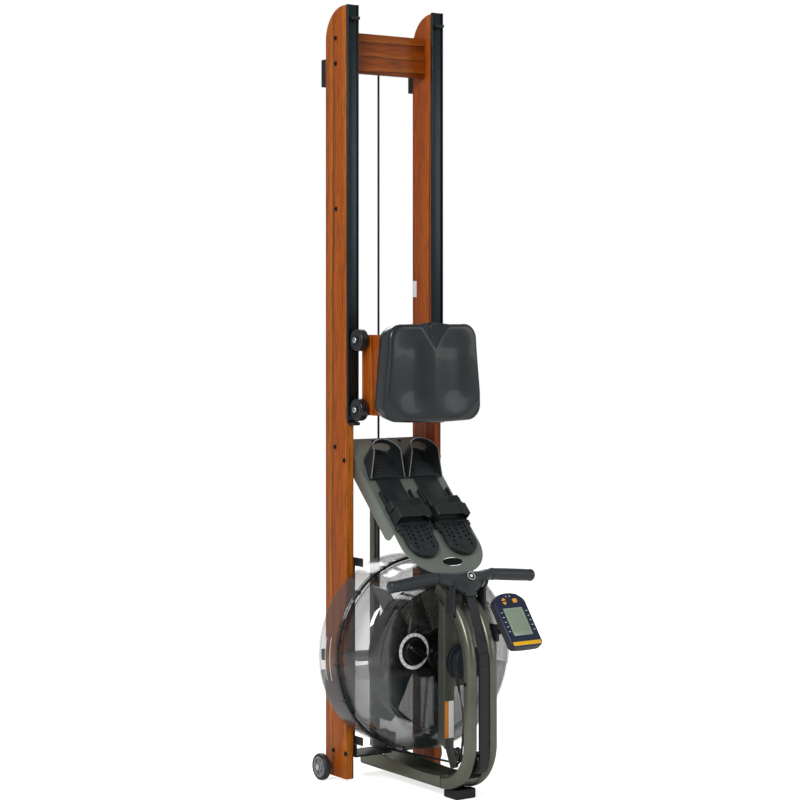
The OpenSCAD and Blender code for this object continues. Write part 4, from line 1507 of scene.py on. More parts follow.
@dataclass
class Frame:
    """Metal frame: side tubes, spine, base arm, bridge, channel with its label, foot and hooks.

    Attributes:
        tube_w: Width of a side tube in millimetres.
        tube_d: Depth of a side tube.
        tube_x: Distance from the middle to a tube's middle.
        round: Rounding of the tube's section.
        low: Centre and outer radius of the lower bend.
        high: Centre and outer radius of the upper bend.
        end: Angle at which the upper bend stops.
    """
    tube_w: float = 27.0
    tube_d: float = 36.0
    tube_x: float = 32.5
    round: float = 11.5
    low: tuple[float, float, float] = (-277, 142, 130)
    high: tuple[float, float, float] = (-172, 330, 235)
    end: float = 112.0

    def tube_path(self, x: float) -> list[Vector]:
        """Middle line of a side tube.

        Args:
            x: Place across the machine.

        Returns:
            Points from the floor to the upper end.
        """
        half = self.tube_d / 2
        points = arc(self.low[0], self.low[1], self.low[2] - half, 270, 180, 28)
        points += [(self.low[0] - self.low[2] + half, z) for z in (180, 230, 280)]
        points += arc(self.high[0], self.high[1], self.high[2] - half, 180, self.end, 30)
        return [at(x, y, z) for y, z in points]

    def bridge(self) -> Object:
        """Curved plate that joins the tubes at the nose, with rounded long edges."""
        y, z, r = self.low
        half = self.tube_x - self.tube_w / 2
        points = [at(0, a, b) for a, b in arc(y, z, r - self.tube_d / 2 - 1, 226, 269, 20)]
        section = round_rect(2 * half + 1, self.tube_d - 6, 5, 4)
        return swept("nose_bridge", points, section, RIGHT, Skin.PEWTER)

    def base(self) -> Object:
        """Hollow tapered arm along the floor: two walls and a floor plate, rounded below."""
        rings = []
        stations = 30
        for k in range(stations + 1):
            y = -276 + (104 + 276) * k / stations
            w = 46 - 4 * (y + 277) / 383
            top = 47 - 5 * exp(-((y + 200) / 70) ** 2) + 8 * smoothstep(-120, 20, y)
            ring = [(-w, top), (-w, 24)] + arc(-w + 10, 22, 10, 180, 270, 6)
            ring += arc(w - 10, 22, 10, 270, 360, 6) + [(w, 24), (w, top), (w - 1.6, top + 1.6),
                (w - 4.4, top + 1.6), (w - 6, top)]
            ring += arc(w - 14, 26, 8, 0, -90, 4) + arc(-w + 14, 26, 8, -90, -180, 4)
            ring += [(-w + 6, top), (-w + 4.4, top + 1.6), (-w + 1.6, top + 1.6)]
            rings.append([at(x, y, z) for x, z in ring])
        return lofted("base_trough", rings, Skin.PEWTER)

    def build(self) -> None:
        """Makes every piece of the frame."""
        section = round_rect(self.tube_w, self.tube_d, self.round, 7)
        for name, side in (("right_frame_tube", 1), ("left_frame_tube", -1)):
            tube = swept(name + "_bent", self.tube_path(side * self.tube_x), section, RIGHT, Skin.PEWTER,
                bevel=1.5)
            placed(tube, "frame", "frame_bronze", name)
        placed(joined("base_and_bridge", [self.base(), self.bridge()]), "frame", "frame_bronze", "base_arm")
        softened("spine_tube", "spine", Skin.PEWTER, 3.5, "frame_bronze", 4)
        # the channel takes the darker, painted-shade copy of the pewter coat
        softened("inner_channel", "channel", Skin.CHANNEL_PAINTED_SHADE, 1, "frame_bronze")
        softened("nose_foot", "nose_pad", Skin.RUBBER, 4, "rubber_black", 3)
        softened("handle_hooks", "hook_cradles", Skin.MOULDED, 2, "steel_black", 3)
        orange = block("label_stripe", (-45, -296.5, 147), (-33, -296.1, 243), Skin.LABEL_ORANGE, 0.05)
        white = block("label_field", (-33, -296.5, 147), (-16.5, -296.1, 243), Skin.LABEL_WHITE, 0.05)
        placed(orange, "frame", "frame_bronze")
        placed(white, "frame", "frame_bronze")


@dataclass
class Drive:
    """Belt, belt leaves, spool with its turns, roller, pulleys and recoil cord.

    Attributes:
        belt_w: Belt's width in millimetres.
        belt_t: Belt's thickness.
        roller_r: Nose roller's radius.
    """
    belt_w: float = 27.5
    belt_t: float = 1.6
    roller_r: float = 27.0

    def build(self) -> None:
        """Makes every piece of the drive."""
        placed(self.belt(), "frame", "belt_black", "drive_belt")
        for k in (1, 2, 3):
            softened(f"belt_leaf_{k}", f"belt_run_{k}", Skin.BELT, 0.25, "belt_black", body=f"belt_leaf_{k}")
        low, high = box_mm("drive_spool")
        centre = at(0, 0, 345)
        depths = (-high.y, -low.y)
        discs = [(8.7, depths[0]), (44.2, depths[0]), (45, depths[0] + 0.7), (45, depths[0] + 1.3),
            (44.2, depths[0] + 2), (23.5, depths[0] + 2), (23.5, 311.5), (44.2, 311.5), (45, 312.2),
            (45, 312.8), (44.2, 313.5), (35, 313.5), (35, 343.5), (44.2, 343.5), (45, 344.2), (45, 344.8),
            (44.2, depths[1]), (30, depths[1]), (27, depths[1] - 1.2), (14, depths[1] - 1.2),
            (12, depths[1]), (8.7, depths[1])]
        spool = turned("spool_body", discs, centre, FRONT, Skin.SPOOL, 96)
        placed(spool, "drive_spool", "spool_grey", "drive_spool")
        mid = at(0, *middle("nose_roller").yz)
        r = self.roller_r
        profile = mirrored([(4.2, -16), (9, -16), (10, -17), (r - 1.5, -17), (r, -15.5)])
        placed(turned("nose_roller_drum", profile, mid, RIGHT, Skin.ROLLER, 72), "nose_roller",
            "roller_black", "nose_roller")
        for node in ("recoil_pulley", "guide_roller"):
            mid = at(0, *middle(node).yz)
            low, high = box_mm(node)
            r = (high.z - low.z) / 2
            groove = [(r - 4.4 + 4.3 * cos(radians(a)) * -1 + 4.2, 4.5 * sin(radians(a))) for a in range(-80,
                81, 16)]
            profile = [(4.2, -7), (r - 0.6, -7), (r, -6.4)]
            profile += [(min(r, max(r - 6.4, p)), h) for p, h in groove]
            profile += [(r, 6.4), (r - 0.6, 7), (4.2, 7)]
            placed(turned(node + "_wheel", profile, mid, RIGHT, Skin.ROLLER, 64), node, "roller_black", node)
        placed(self.cord(), "frame", "cord_black", "recoil_cord")

    def belt(self) -> Object:
        """Flat belt from the spool, twisted down to the nose roller, round it and up the slot."""
        t, w, r = self.belt_t, self.belt_w, self.roller_r + 0.35
        y0, z0 = -378, 95
        rings = []
        half, thick = (w - 1.5) / 2, t / 2
        for k in range(33):
            s = k / 32
            mid = Vector((-37 * (1 - s), -327.3 * (1 - s) + (y0 + r + 1.7) * s, 345 * (1 - s) + (z0 + 2) * s))
            a = radians(90 * (1 - s))
            wide = Vector((cos(a), sin(a), 0)) * half
            deep = Vector((-sin(a), cos(a), 0)) * thick
            rings.append([at(*(mid + p)) for p in (wide + deep, deep - wide, -wide - deep, wide - deep)])
        twist = lofted("belt_twist", rings, Skin.BELT, sharp=60)
        path = [(y, z) for y, z in arc(y0, z0, r + t / 2, -2, -180, 40)]
        path += [(y0 - r - t / 2, z) for z in range(105, 351, 12)]
        section = [(-w / 2, -t / 2), (w / 2, -t / 2), (w / 2, t / 2), (-w / 2, t / 2)]
        wrap = swept("belt_wrap", [at(0, y, z) for y, z in path], section, RIGHT, Skin.BELT)
        return joined("belt", [twist, wrap])

    @staticmethod
    def cord() -> Object:
        """Recoil cord along its whole route."""
        path = [(0, 77, 1935)] + [(0, 77, z) for z in range(1900, 88, -100)] + [(0, 77, 88), (0, 75, 77),
            (0, 69, 68), (0, 60, 62), (0, 49, 60), (0, 0, 62), (0, -100, 67), (0, -200, 72), (0, -285, 76),
            (0, -295, 78), (0, -302, 84), (0, -306, 91), (0, -307, 100), (5, -307, 150), (15, -307, 250),
            (26, -307, 340)]
        return swept("elastic_cord", [at(*p) for p in path], circle(3, 12), RIGHT, Skin.CORD)


@dataclass
class Footrests:
    """Foot board with its flanges, badge and screws, and both adjustable footrests.

    Attributes:
        slope: Frame of axes of the board.
        width: Board's width in millimetres.
        length: Board's length up the slope.
        end_r: Radius of the board's lower corners.
        sheet: Sheet thickness.
        rest_x: Distance from the middle to a footrest's middle.
        cup_r: Outer radius of a heel cup.
        cup_u: Place of the cup's centre up the slope.
        cup_h: Height of a heel cup.
        flare: Half width of a heel cup at its open end.
        toe_u: Place of the cup's open end.
    """
    slope: Slope = Slope(53, 910, 45)
    width: float = 254.0
    length: float = 478.0
    end_r: float = 100.0
    sheet: float = 2.5
    rest_x: float = 62.0
    cup_r: float = 45.0
    cup_u: float = -98.0
    cup_h: float = 59.0
    flare: float = 57.0
    toe_u: float = -150.0

    def board(self) -> Object:
        """Bent sheet board: a round-ended face with a bent flange along each side."""
        half, t = self.width / 2, self.sheet
        r = self.end_r
        outline = [(half, 0), (-half, 0)]
        outline += arc(-half + r, -self.length + r, r, 180, 270, 20)
        outline += arc(half - r, -self.length + r, r, 270, 360, 20)
        # the board takes the lighter, painted-light copy of the pewter coat
        face = prism("board_face", outline, self.slope, -t, 0, Skin.BOARD_PAINTED_LIGHT, 0.9, 3)
        flanges = []
        for side in (-1, 1):
            shape = [(-8, -0.6), (-8, -42), (-312, -42)] + arc(-312, -21, 21, 270, 180, 8)
            shape += [(-333, -0.6)]
            low, high = sorted((side * half, side * (half - t)))
            flanges.append(prism("flange", shape, lambda u, w, x: self.slope(x, u, w), low, high, Skin.BOARD_PAINTED_LIGHT,
                0.8, 2))
        return joined("foot_board_sheet", [face] + flanges)

    def heel_rest(self, side: int, name: str) -> None:
        """Makes one sliding heel rest: cup with a rolled rim, ribbed pad and tongue.

        Args:
            side: -1 on the left, 1 on the right.
            name: Body's and CAD node's name.
        """
        x0, u0, r = side * self.rest_x, self.cup_u, self.cup_r
        place = self.slope
        rows = []
        for a, u, p, q, rise in self.cup_line():
            lean = 3 * rise / self.cup_h
            section = [(0, 1), (0, 5), (lean * 0.5 - 1, rise * 0.5), (lean - 3, rise - 2.5),
                (lean - 3.2, rise - 0.8), (lean - 4, rise), (lean - 6.4, rise), (lean - 7, rise - 1),
                (lean - 6.8, rise - 2.4), (-5, rise * 0.5), (-5.4, min(9, rise * 0.7)), (-5.4, 1)]
            rows.append([place(x0 + a + p * d, u + q * d, h) for d, h in section])
        wall = lofted("cup_wall", rows, Skin.HEEL)
        window = prism("window", round_rect(68, 30, 12, 5), lambda a, h, u: place(x0 + a, u, 30 + h), -84,
            -40, Skin.HEEL)
        cut_away(wall, window)
        sole = [(-self.flare + 3, self.toe_u), (self.flare - 3, self.toe_u)] + arc(0, u0, r - 3, 0, 180, 28)
        plates = [prism(label, outline, place.moved(x0, u), low, high, Skin.HEEL, bevel, 2) for label,
            outline, u, low, high, bevel in (("cup_sole", sole, 0, 1, 10, 1),
            ("heel_pad", round_rect(68, 56, 10, 6), -119, 9.5, 11.2, 0.8),
            ("tongue", [(-37, -300), (37, -300), (37, -150), (-37, -150)], 0, 1, 6, 1.2),
            ("tongue_rib", round_rect(44, 96, 6, 4), -206, 5.5, 7.2, 0.9))]
        rib = loose_block("rib", (-30, -1.5, 0), (30, 1.5, 2.2), Skin.HEEL, 0.7)
        rib.data.transform(self.upslope())
        spots = [(place(x0, -142 + 7 * k, 10.6), UP) for k in range(7)]
        ribs = repeated("heel_ribs", rib, spots, Skin.HEEL)
        piece = joined(name + "_moulding", [wall] + plates + [ribs])
        placed(piece, name, "rest_black", name)
        edge = [place(x0 + a - 2.2 * p, u - 2.2 * q, rise + 0.2) for a, u, p, q, rise in self.cup_line()]
        trim = swept("rim", edge, circle(0.9, 8), self.slope.out, Skin.SPOKE)
        placed(trim, name, "rest_black")
        trim.name = name + "_rim"

    def cup_line(self) -> list[tuple[float, float, float, float, float]]:
        """Line of a heel cup's wall: across, up, outward direction as two parts, and height."""
        r, u0, steps = self.cup_r, self.cup_u, 28
        run = Vector((self.flare - r, u0 - self.toe_u)).normalized()
        leg = []
        for k in range(9):
            t = k / 9
            leg.append((-self.flare + (self.flare - r) * t, self.toe_u + (u0 - self.toe_u) * t, -run.y,
                run.x * 0.6, 10 + (self.cup_h - 10) * t))
        bend = []
        for k in range(steps + 1):
            a = radians(180 - 180 * k / steps)
            bend.append((r * cos(a), u0 + r * sin(a), cos(a), sin(a), self.cup_h))
        back = [(-a, u, -p, q, rise) for a, u, p, q, rise in reversed(leg)]
        return leg + bend + back

    def upslope(self) -> Matrix:
        """Rotation from the machine's axes to the board's."""
        return Matrix.Rotation(radians(self.slope.turn), 4, "X")

    def strap(self, side: int) -> list[Object]:
        """Makes both straps of a footrest with their buckle and clips.

        Args:
            side: -1 on the left, 1 on the right.

        Returns:
            The straps, as pieces on the frame.
        """
        x0, place = side * self.rest_x, self.slope
        pieces = []
        for k, (u0, u1, high, t) in enumerate(((-246.5, -271.5, 31.5, 2.2), (-276.5, -311.5, 41.5, 2.6))):
            path = []
            for j in range(49):
                s = -1 + 2 * j / 48
                a = 51.8 * copysign(min(1, abs(s) * 1.3) ** 0.94, s)
                drop = max(0, abs(s) - 0.7) / 0.3
                w = high * (1 - drop ** 1.6) + 0.5 - 0.8 * (1 - abs(s))
                path.append(place(x0 + a, (u0 + u1) / 2, w - t / 2))
            section = round_rect(u0 - u1, t, t * 0.4, 3)
            pieces.append(swept(f"band_{k}", path, section, self.slope.up, Skin.STRAP))
        pieces += self.buckle(x0 + 30, -259, 32.5)
        pieces += [prism("strap_clip", round_rect(13, 17, 3, 3), place.moved(x0 + 49.5 * s, -323), 1, 15,
            Skin.MOULDED, 1.2, 2) for s in (-1, 1)]
        return pieces + [prism("strap_tab", round_rect(16, 46, 4, 4), place.moved(x0 + 33, -296), 41.4, 43,
            Skin.STRAP, 0.5, 2)]

    def buckle(self, x: float, u: float, w: float) -> list[Object]:
        """Ladder buckle: a frame with two cross bars over the strap."""
        sides = [prism("buckle_side", round_rect(30, 4, 1.8, 3), self.slope.moved(x, u + b), w - 2.2,
            w + 2.6, Skin.MOULDED, 0.8, 2) for b in (-13, 13)]
        return sides + [prism("buckle_bar", round_rect(3.6, 27, 1.6, 3), self.slope.moved(x + a, u), w - 1.6,
            w + 2.2, Skin.MOULDED, 0.8, 2) for a in (-13, -4.5, 4, 13)]

    def toe_plate(self, side: int) -> Object:
        """Makes one perforated toe plate with its guides.

        Args:
            side: -1 on the left, 1 on the right.

        Returns:
            The plate.
        """
        x0, place = side * self.rest_x, self.slope
        outline = [(46, -300), (-46, -300), (-46, -374)]
        outline += arc(0, -378, 46, 180, 360, 28) + [(46, -374)]
        plate = prism("toe_pad", outline, place.moved(x0), 0.3, 14, Skin.HEEL, 2, 3)
        diamond = [(4.2, 0), (0, 5.8), (-4.2, 0), (0, -5.8)]
        turn = self.upslope()
        cutter = prism("diamond", diamond, lambda a, b, h: turn @ (Vector((a, b, h)) * MM), -6, 8, Skin.HEEL)
        spots = []
        for row in range(6):
            for a in ((-32, -20, 20, 32) if row < 4 else (-25, 25)):
                lift = 5 if abs(a) == 32 else 0
                spots.append((place(x0 + a, -327 - 13.5 * row + lift, 12), UP))
        spots += [(place(x0, -331 - 13.5 * k, 15.5), UP) for k in range(4)]
        plate = perforated(plate, cutter, spots)
        ring = prism("toe_mark", circle(11.5, 40), place.moved(x0, -396), 13.6, 15.2, Skin.HEEL, 0.6, 2)
        step = prism("toe_step", round_rect(88, 20, 5, 4), place.moved(x0, -308), 13.5, 16, Skin.HEEL, 1, 2)
        guides = [prism("guide", [(a, -345), (a + 5.6, -345), (a + 5.6, -195), (a, -195)], place.moved(x0),
            0.2, 12, Skin.HEEL, 1.4, 2) for a in (-50, 44.4)]
        return joined("toe", [plate, ring, step] + guides)

    def build(self) -> None:
        """Makes every piece of the foot board and the footrests."""
        placed(self.board(), "frame", "frame_bronze", "foot_board")
        softened("board_support", "board_prop", Skin.BLACK_STEEL, 2.5, "steel_black", 3)
        placed(joined("toe_plates_moulded", [self.toe_plate(-1), self.toe_plate(1)]), "frame", "rest_black",
            "toe_plates")
        placed(joined("straps_and_buckles", self.strap(-1) + self.strap(1)), "frame", "belt_black",
            "foot_straps")
        self.heel_rest(-1, "left_heel_rest")
        self.heel_rest(1, "right_heel_rest")
        out = self.slope.out
        mark = self.slope(7, -440, 0.1)
        oval = prism("badge", [(33 * a, 13 * b) for a, b in circle(1, 48)], lambda a, b,
            h: mark + Vector((a, 0, 0)) * MM + (self.slope.up * b + out * h) * MM, 0, 1.4, Skin.BADGE, 0.5,
            2)
        ring = swept("badge_ring",
            [mark + (Vector((33.2, 0, 0)) * a + self.slope.up * 13.2 * b + out * 0.9) * MM for a,
            b in circle(1, 64)], circle(1.1, 8), out, Skin.CHROME, closed=True)
        placed(oval, "frame", "rest_black")
        placed(ring, "frame", "steel_bright")
        screws = repeated("board_screws", socket_bolt("screw", 5.2, 2.6, Skin.BOLT),
            [(self.slope(x, -12, 0), out) for x in (-39, 48)], Skin.BOLT)
        placed(screws, "frame", "steel_black")


@dataclass
class Handle:
    """Pull handle: moulded hub with a badge, two grips and the belt's tail.

    Attributes:
        grip_r: Grip's radius in millimetres.
        start: Inner end of the right grip.
        end: Outer end of the right grip.
    """
    grip_r: float = 16.0
    start: tuple[float, float, float] = (86.1, -317, 568)
    end: tuple[float, float, float] = (233, -310.4, 553.8)

    def stations(self) -> list[tuple[Vector, float, float]]:
        """Middle, half depth and half height of the hub's sections, left to right."""
        keys = [(0, -333.5, 550.5, 21.5, 31.5), (14, -332.8, 551, 21.2, 30.5), (28, -330.2, 554, 20.4, 26),
            (44, -326.4, 559, 19.3, 20), (60, -322.2, 563.4, 17.6, 17.2), (74, -319.2, 566.4, 15.8, 15.2),
            (85.6, -317.1, 568, 14.6, 14.4)]
        rows = [(Vector((-x, y, z)), d, h) for x, y, z, d, h in reversed(keys[1:])]
        rows += [(Vector((x, y, z)), d, h) for x, y, z, d, h in keys]
        fine = []
        for k in range(len(rows) - 1):
            for j in range(4):
                s = j / 4
                fine.append((rows[k][0].lerp(rows[k + 1][0], s),
                    rows[k][1] + (rows[k + 1][1] - rows[k][1]) * s,
                    rows[k][2] + (rows[k + 1][2] - rows[k][2]) * s))
        return fine + [rows[-1]]

    def build(self) -> None:
        """Makes every piece of the handle."""
        rings = []
        for mid, deep, tall in self.stations():
            ring = []
            for k in range(40):
                a = 2 * pi * k / 40
                c, s = cos(a), sin(a)
                e = 0.86
                ring.append(at(mid.x, mid.y + deep * copysign(abs(c) ** e, c),
                    mid.z + tall * copysign(abs(s) ** e, s)))
            rings.append(ring)
        hub = lofted("hub_moulding", rings, Skin.HANDLE, sharp=50)
        for _ in range(2):
            self.relax(hub)
        tail_path = [(-399.8, 131), (-399.8, 200), (-399.8, 290), (-399.8, 350), (-399.2, 368), (-397, 384),
            (-392.5, 400), (-385, 420), (-372, 456), (-358, 492), (-345, 528)]
        tail = swept("belt_tail", [at(0, y, z) for y, z in tail_path], [(-13.6, -0.5), (13.6, -0.5),
            (13.6, 0.5), (-13.6, 0.5)], RIGHT, Skin.BELT)
        clamp = prism("belt_clamp", round_rect(36, 14, 4, 4), lambda a, b,
            h: at(a, -345 + b * 0.35 + h, 527 + b), -7, 7, Skin.MOULDED, 2, 3)
        placed(joined("handle_hub_and_tail", [hub, tail, clamp]), "handle", "handle_grey", "handle_hub")
        grips, ends = [], []
        for side in (-1, 1):
            a = Vector((side * self.start[0], self.start[1], self.start[2]))
            b = Vector((side * self.end[0], self.end[1], self.end[2]))
            axis = (b - a).normalized()
            length = (b - a).length
            r = self.grip_r
            profile = [(0, 0), (14.2, 0), (15.4, 1), (r, 2.4), (r + 0.5, 5), (r, 7.6), (r - 0.5, 10)]
            profile += [(r - 0.5 + 0.5 * sin(pi * k / 10), 10 + (length - 24) * k / 10) for k in range(1,
                10)]
            profile += [(r - 0.4, length - 14), (r + 0.3, length - 11)] + arc(r - 9, length - 9.5, 9.4, 0,
                90, 8)
            profile += [(0, length)]
            grips.append(turned("grip", profile, at(*a), axis, Skin.GRIP, 56, closed=False))
        placed(joined("grips", grips), "handle", "grip_grey", "handle_grips")
        centre, face = at(0, -350, 572), Vector((0, -0.843, 0.538))
        outer = disc("badge_disc", [(0, -4), (13.5, -4), (13.5, 0.4), (12.9, 1), (0, 1)], centre, face,
            Skin.BADGE, 56)
        ring = turned("badge_line", [(10, 0.8), (11.6, 0.8), (11.6, 1.3), (10, 1.3)], centre, face,
            Skin.WHITE, 56)
        dot = disc("badge_dot", [(0, 0.7), (4.6, 0.7), (4.6, 1.3), (0, 1.3)], centre, face, Skin.WHITE, 32)
        placed(outer, "handle", "rest_black")
        placed(joined("badge_print", [ring, dot]), "handle", "rest_black")

    @staticmethod
    def relax(obj: Object) -> None:
        """Smooths a piece's points once without moving its ends much."""
        bm = bmesh.new()
        bm.from_mesh(obj.data)
        inner = [v for v in bm.verts if len(v.link_faces) == 4]
        bmesh.ops.smooth_vert(bm, verts=inner, factor=0.5, use_axis_x=False, use_axis_y=True,
            use_axis_z=True)
        bm.to_mesh(obj.data)
        bm.free()


@dataclass
class Console:
    """Monitor with its screen, keys, stripe and arm.

    Attributes:
        face: Frame of axes of its face.
        width: Case's width in millimetres.
        length: Case's length.
    """
    face: Slope = Slope(-534, 475, 52.5)
    width: float = 98.0
    length: float = 155.0

    def outline(self, grow: float = 0) -> Outline:
        """Outline of the case: arched top, straight sides and a soft lower end."""
        half, tall = self.width / 2 + grow, self.length / 2 + grow
        points: Outline = []
        for k in range(13):
            a = -half + 14 + (2 * half - 28) * k / 12
            points.append((a, -tall + 2.2 * (a / half) ** 2))
        points += arc(half - 12, -tall + 13.4, 12, -78, 0, 6)
        points += arc(half - 22, tall - 31, 22, 4, 58, 8)
        for k in range(1, 12):
            a = half - 12 - (2 * half - 24) * k / 12
            points.append((a, tall - 12.5 * (a / half) ** 2 * 1.02))
        points += arc(-half + 22, tall - 31, 22, 122, 176, 8)
        points += arc(-half + 12, -tall + 13.4, 12, 180, 258, 6)
        return points

    def build(self) -> None:
        """Makes every piece of the console."""
        shell = prism("console_bezel", self.outline(), self.face, 3, 12.6, Skin.NAVY, 3.2, 5)
        back = prism("console_back", self.outline(0.4), self.face, -10, 6.5, Skin.BACK, 2.5, 4)
        under = prism("console_under", self.outline(-6), self.face, -15, -8, Skin.GREY, 3, 4)
        mount = []
        for s in (-1, 1):
            mount.append(prism("mount_ear", [(-499, 454), (-499, 476), (-523, 474), (-523, 462),
                (-513, 454)], side_on, 11.2 * s if s > 0 else -16, 16 if s > 0 else -11.2, Skin.BACK, 1.5,
                3))
        mount.append(turned("tilt_pin", [(0, -17), (3.9, -17), (3.9, 17), (0, 17)], at(0, -507, 462), RIGHT,
            Skin.BRIGHT, 24, closed=False))
        cut = prism("window_cut", round_rect(63, 82, 3, 3), self.face.moved(0, -5.5), 11.4, 14, Skin.NAVY)
        cut_away(shell, cut)
        placed(joined("console_body", [shell, back, under] + mount), "console", "case_navy", "console_case")
        screen = prism("screen_glass", round_rect(60, 79, 2, 3), self.face.moved(0, -5.5), 10.8, 12.2,
            Skin.LCD, 0.4, 2)
        placed(screen, "console", "screen_green", "console_screen")
        placed(self.segments(), "console", "screen_green")
        prints = []
        for s in (-1, 1):
            prints.append(prism("arrow", [(4.5 * s, 69.5), (4.5 * s + 3 * s, 67), (4.5 * s, 64.5)][::s],
                self.face, 12.5, 12.75, Skin.WHITE))
            for k in range(5):
                prints.append(prism("mark", round_rect(5.5, 1.5, 0.5, 2),
                    self.face.moved(39 * s, 22 - 13.5 * k), 12.5, 12.75, Skin.WHITE))
        placed(joined("console_print", prints), "console", "case_navy")
        stripe = prism("console_stripe", round_rect(88, 10.5, 2.5, 3), self.face.moved(0, -67.5), 12.2, 12.9,
            Skin.YELLOW, 0.15, 2)
        placed(stripe, "console", "key_orange")
        for name, b, tip in (("key_up", 58.5, 1), ("key_down", 47.5, -1)):
            shape = [(-18 + p * 1, b + tip * q) for p, q in ((-5.6, -3.4), (5.6, -3.4), (6, -2.2),
                (0.8, 4.4), (-0.8, 4.4), (-6, -2.2))]
            key = prism(name + "_cap", shape if tip > 0 else shape[::-1], self.face, 9, 14.4, Skin.ORANGE,
                0.9, 3)
            placed(key, name, "key_orange", name)
        square = prism("key_set_cap", round_rect(13.4, 11.4, 2.4, 4), self.face.moved(16, 53), 9, 14.4,
            Skin.ORANGE, 1, 3)
        placed(square, "key_set", "key_orange", "key_set")
        softened("console_arm", "arm", Skin.BLACK_STEEL, 1.2, "steel_black", 2)

    def segments(self) -> Object:
        """Fields and digits of the liquid crystal, as faint generic bars."""
        bars = []

        def bar(a: float, b: float, w: float, h: float) -> None:
            """Adds one bar about a point."""
            bars.append(prism("bar", round_rect(w, h, min(w, h) * 0.3, 2), self.face.moved(a, b), 12.15,
                12.3, Skin.LCD_DARK))

        for b in (16, -2, -20, -33):
            bar(0, b, 52, 0.7)
        for row, b in enumerate((24, 7, -11.5, -27)):
            for k in range(4):
                a = -19 + 12.5 * k
                tall = 5 if row < 3 else 3.2
                for rise in (tall / 2, -tall / 2):
                    bar(a - 3, b + rise, 0.9, tall - 0.8)
                    bar(a + 3, b + rise, 0.9, tall - 0.8)
                for lift in (-tall, 0, tall):
                    bar(a, b + lift, 5, 0.9)
        return joined("screen_fields", bars)


@dataclass
class Wheels:
    """Transport wheels at the nose end.

    Attributes:
        radius: Tyre's radius in millimetres.
        y: Axle's place front to back.
        z: Axle's height.
        near: Distance from the middle to the wheel's inner face.
        far: Distance from the middle to its outer face.
    """
    radius: float = 36.0
    y: float = 79.0
    z: float = 26.0
    near: float = 175.0
    far: float = 195.0

    def build(self) -> None:
        """Makes both wheels."""
        half = (self.far - self.near) / 2
        r = self.radius
        for name, side in (("right_wheel", 1), ("left_wheel", -1)):
            mid = at(side * (self.near + self.far) / 2, self.y, self.z)
            axis = RIGHT * side
            tyre = [(r - 9, -half + 1)] + arc(r - 7, -half + 7, 7, -90, -10, 6)
            tyre += arc(r - 7, half - 7, 7, 10, 90, 6) + [(r - 9, half - 1)]
            ring = turned(name + "_tyre", tyre, mid, axis, Skin.TYRE, 96)
            placed(ring, name, "tyre_black", name)
            rim = [(r - 12.5, -half + 2), (r - 8.8, -half + 1.4), (r - 8.8, half - 1.4), (r - 12.5, half - 2)]
            core = mirrored([(5.2, -half + 0.6), (10.5, -half + 0.6), (11.5, -half + 1.6)])
            web = [(10.5, -1.6), (r - 11.5, -1.6), (r - 11.5, 1.6), (10.5, 1.6)]
            parts = [turned("rim", rim, mid, axis, Skin.SPOKE, 72),
                turned("core", core, mid, axis, Skin.SPOKE, 48), turned("web", web, mid, axis, Skin.SPOKE,
                48)]
            spoke = loose_block("spoke", (-half + 2.4, -1.7, -1), (half - 2.4, 1.7, 13.5), Skin.SPOKE, 0.8)
            spots = []
            for k in range(6):
                a = radians(60 * k + 15)
                way = Vector((0, cos(a), sin(a)))
                spots.append((mid + way * 11 * MM, way))
            spokes = repeated("spokes", spoke, spots, Skin.SPOKE)
            placed(joined(name + "_hub", parts + [spokes]), name, "roller_black")


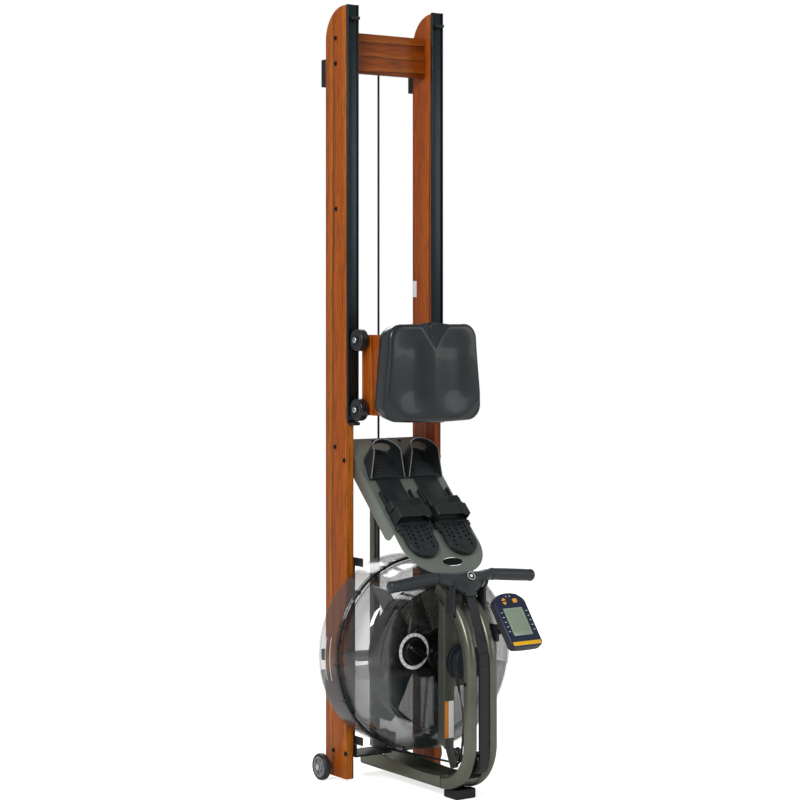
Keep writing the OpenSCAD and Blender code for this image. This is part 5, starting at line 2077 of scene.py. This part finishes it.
@dataclass
class Studio:
    """Pale floor, soft light and the camera.

    Attributes:
        place: Camera's place in metres.
        turn: Camera's turn in degrees.
        lens: Focal length in millimetres.
        lift: Vertical shift of the film.
        ambient: Strength of the light from all round.
    """
    place: tuple[float, float, float] = (-3.268, -4.4993, 1.2574)
    turn: tuple[float, float, float] = (90.0, 0.0, -34.79)
    lens: float = 95.0
    lift: float = -0.1065
    ambient: float = 0.36

    def lamp(self, name: str, place: Sequence[float], aim: Sequence[float], size: float,
            power: float) -> None:
        """Adds a soft rectangular lamp.

        Args:
            name: Lamp's name.
            place: Place in metres.
            aim: Point that it faces.
            size: Side in metres.
            power: Power in watts.
        """
        data = bpy.data.lights.new(name, "AREA")
        data.shape, data.size, data.energy = "SQUARE", size, power
        obj = linked(name, data)
        obj.location = place
        obj.rotation_euler = (Vector(aim) - Vector(place)).to_track_quat("-Z", "Y").to_euler()

    def build(self) -> None:
        """Makes the floor, the lights and the camera."""
        mesh = bpy.data.meshes.new("floor")
        size = 14.0
        mesh.from_pydata([(-size, -size, 0), (size, -size, 0), (size, size, 0), (-size, size, 0)], [],
            [[0, 1, 2, 3]])
        mesh.materials.append(Skin.FLOOR.material)
        linked("floor", mesh)
        world = bpy.data.worlds.new("studio")
        world.use_nodes = True
        tree = world.node_tree
        seen = add(tree, "ShaderNodeLightPath").outputs["Is Camera Ray"]
        power = add(tree, "ShaderNodeMapRange", {0: seen}, {3: self.ambient, 4: 1.0})
        tree.links.new(power.outputs[0], tree.nodes["Background"].inputs[1])
        tree.nodes["Background"].inputs[0].default_value = (1.0, 1.0, 1.0, 1.0)
        bpy.context.scene.world = world
        self.lamp("key", (-3.6, -2.4, 3.4), (0, 0, 1.0), 1.6, 130)
        self.lamp("fill", (3.2, -3.4, 2.2), (0, 0, 0.9), 2.2, 28)
        self.lamp("rim", (1.5, 3.4, 3.4), (0, 0, 1.2), 2.2, 80)
        data = bpy.data.cameras.new("view")
        data.lens, data.sensor_width, data.shift_y = self.lens, 36.0, self.lift
        data.clip_end = 50.0
        camera = linked("view", data)
        camera.location = self.place
        camera.rotation_euler = [radians(a) for a in self.turn]
        bpy.context.scene.camera = camera
        bpy.context.scene.view_settings.view_transform = "Standard"


def main() -> None:
    """Builds every sub-assembly and the studio."""
    logging.basicConfig(level=logging.INFO, format="%(message)s")
    for part in (Rails(), Seat(), Tank(), Frame(), Drive(), Footrests(), Handle(), Console(), Wheels()):
        part.build()
    Studio().build()


if __name__ == "__main__":
    main()
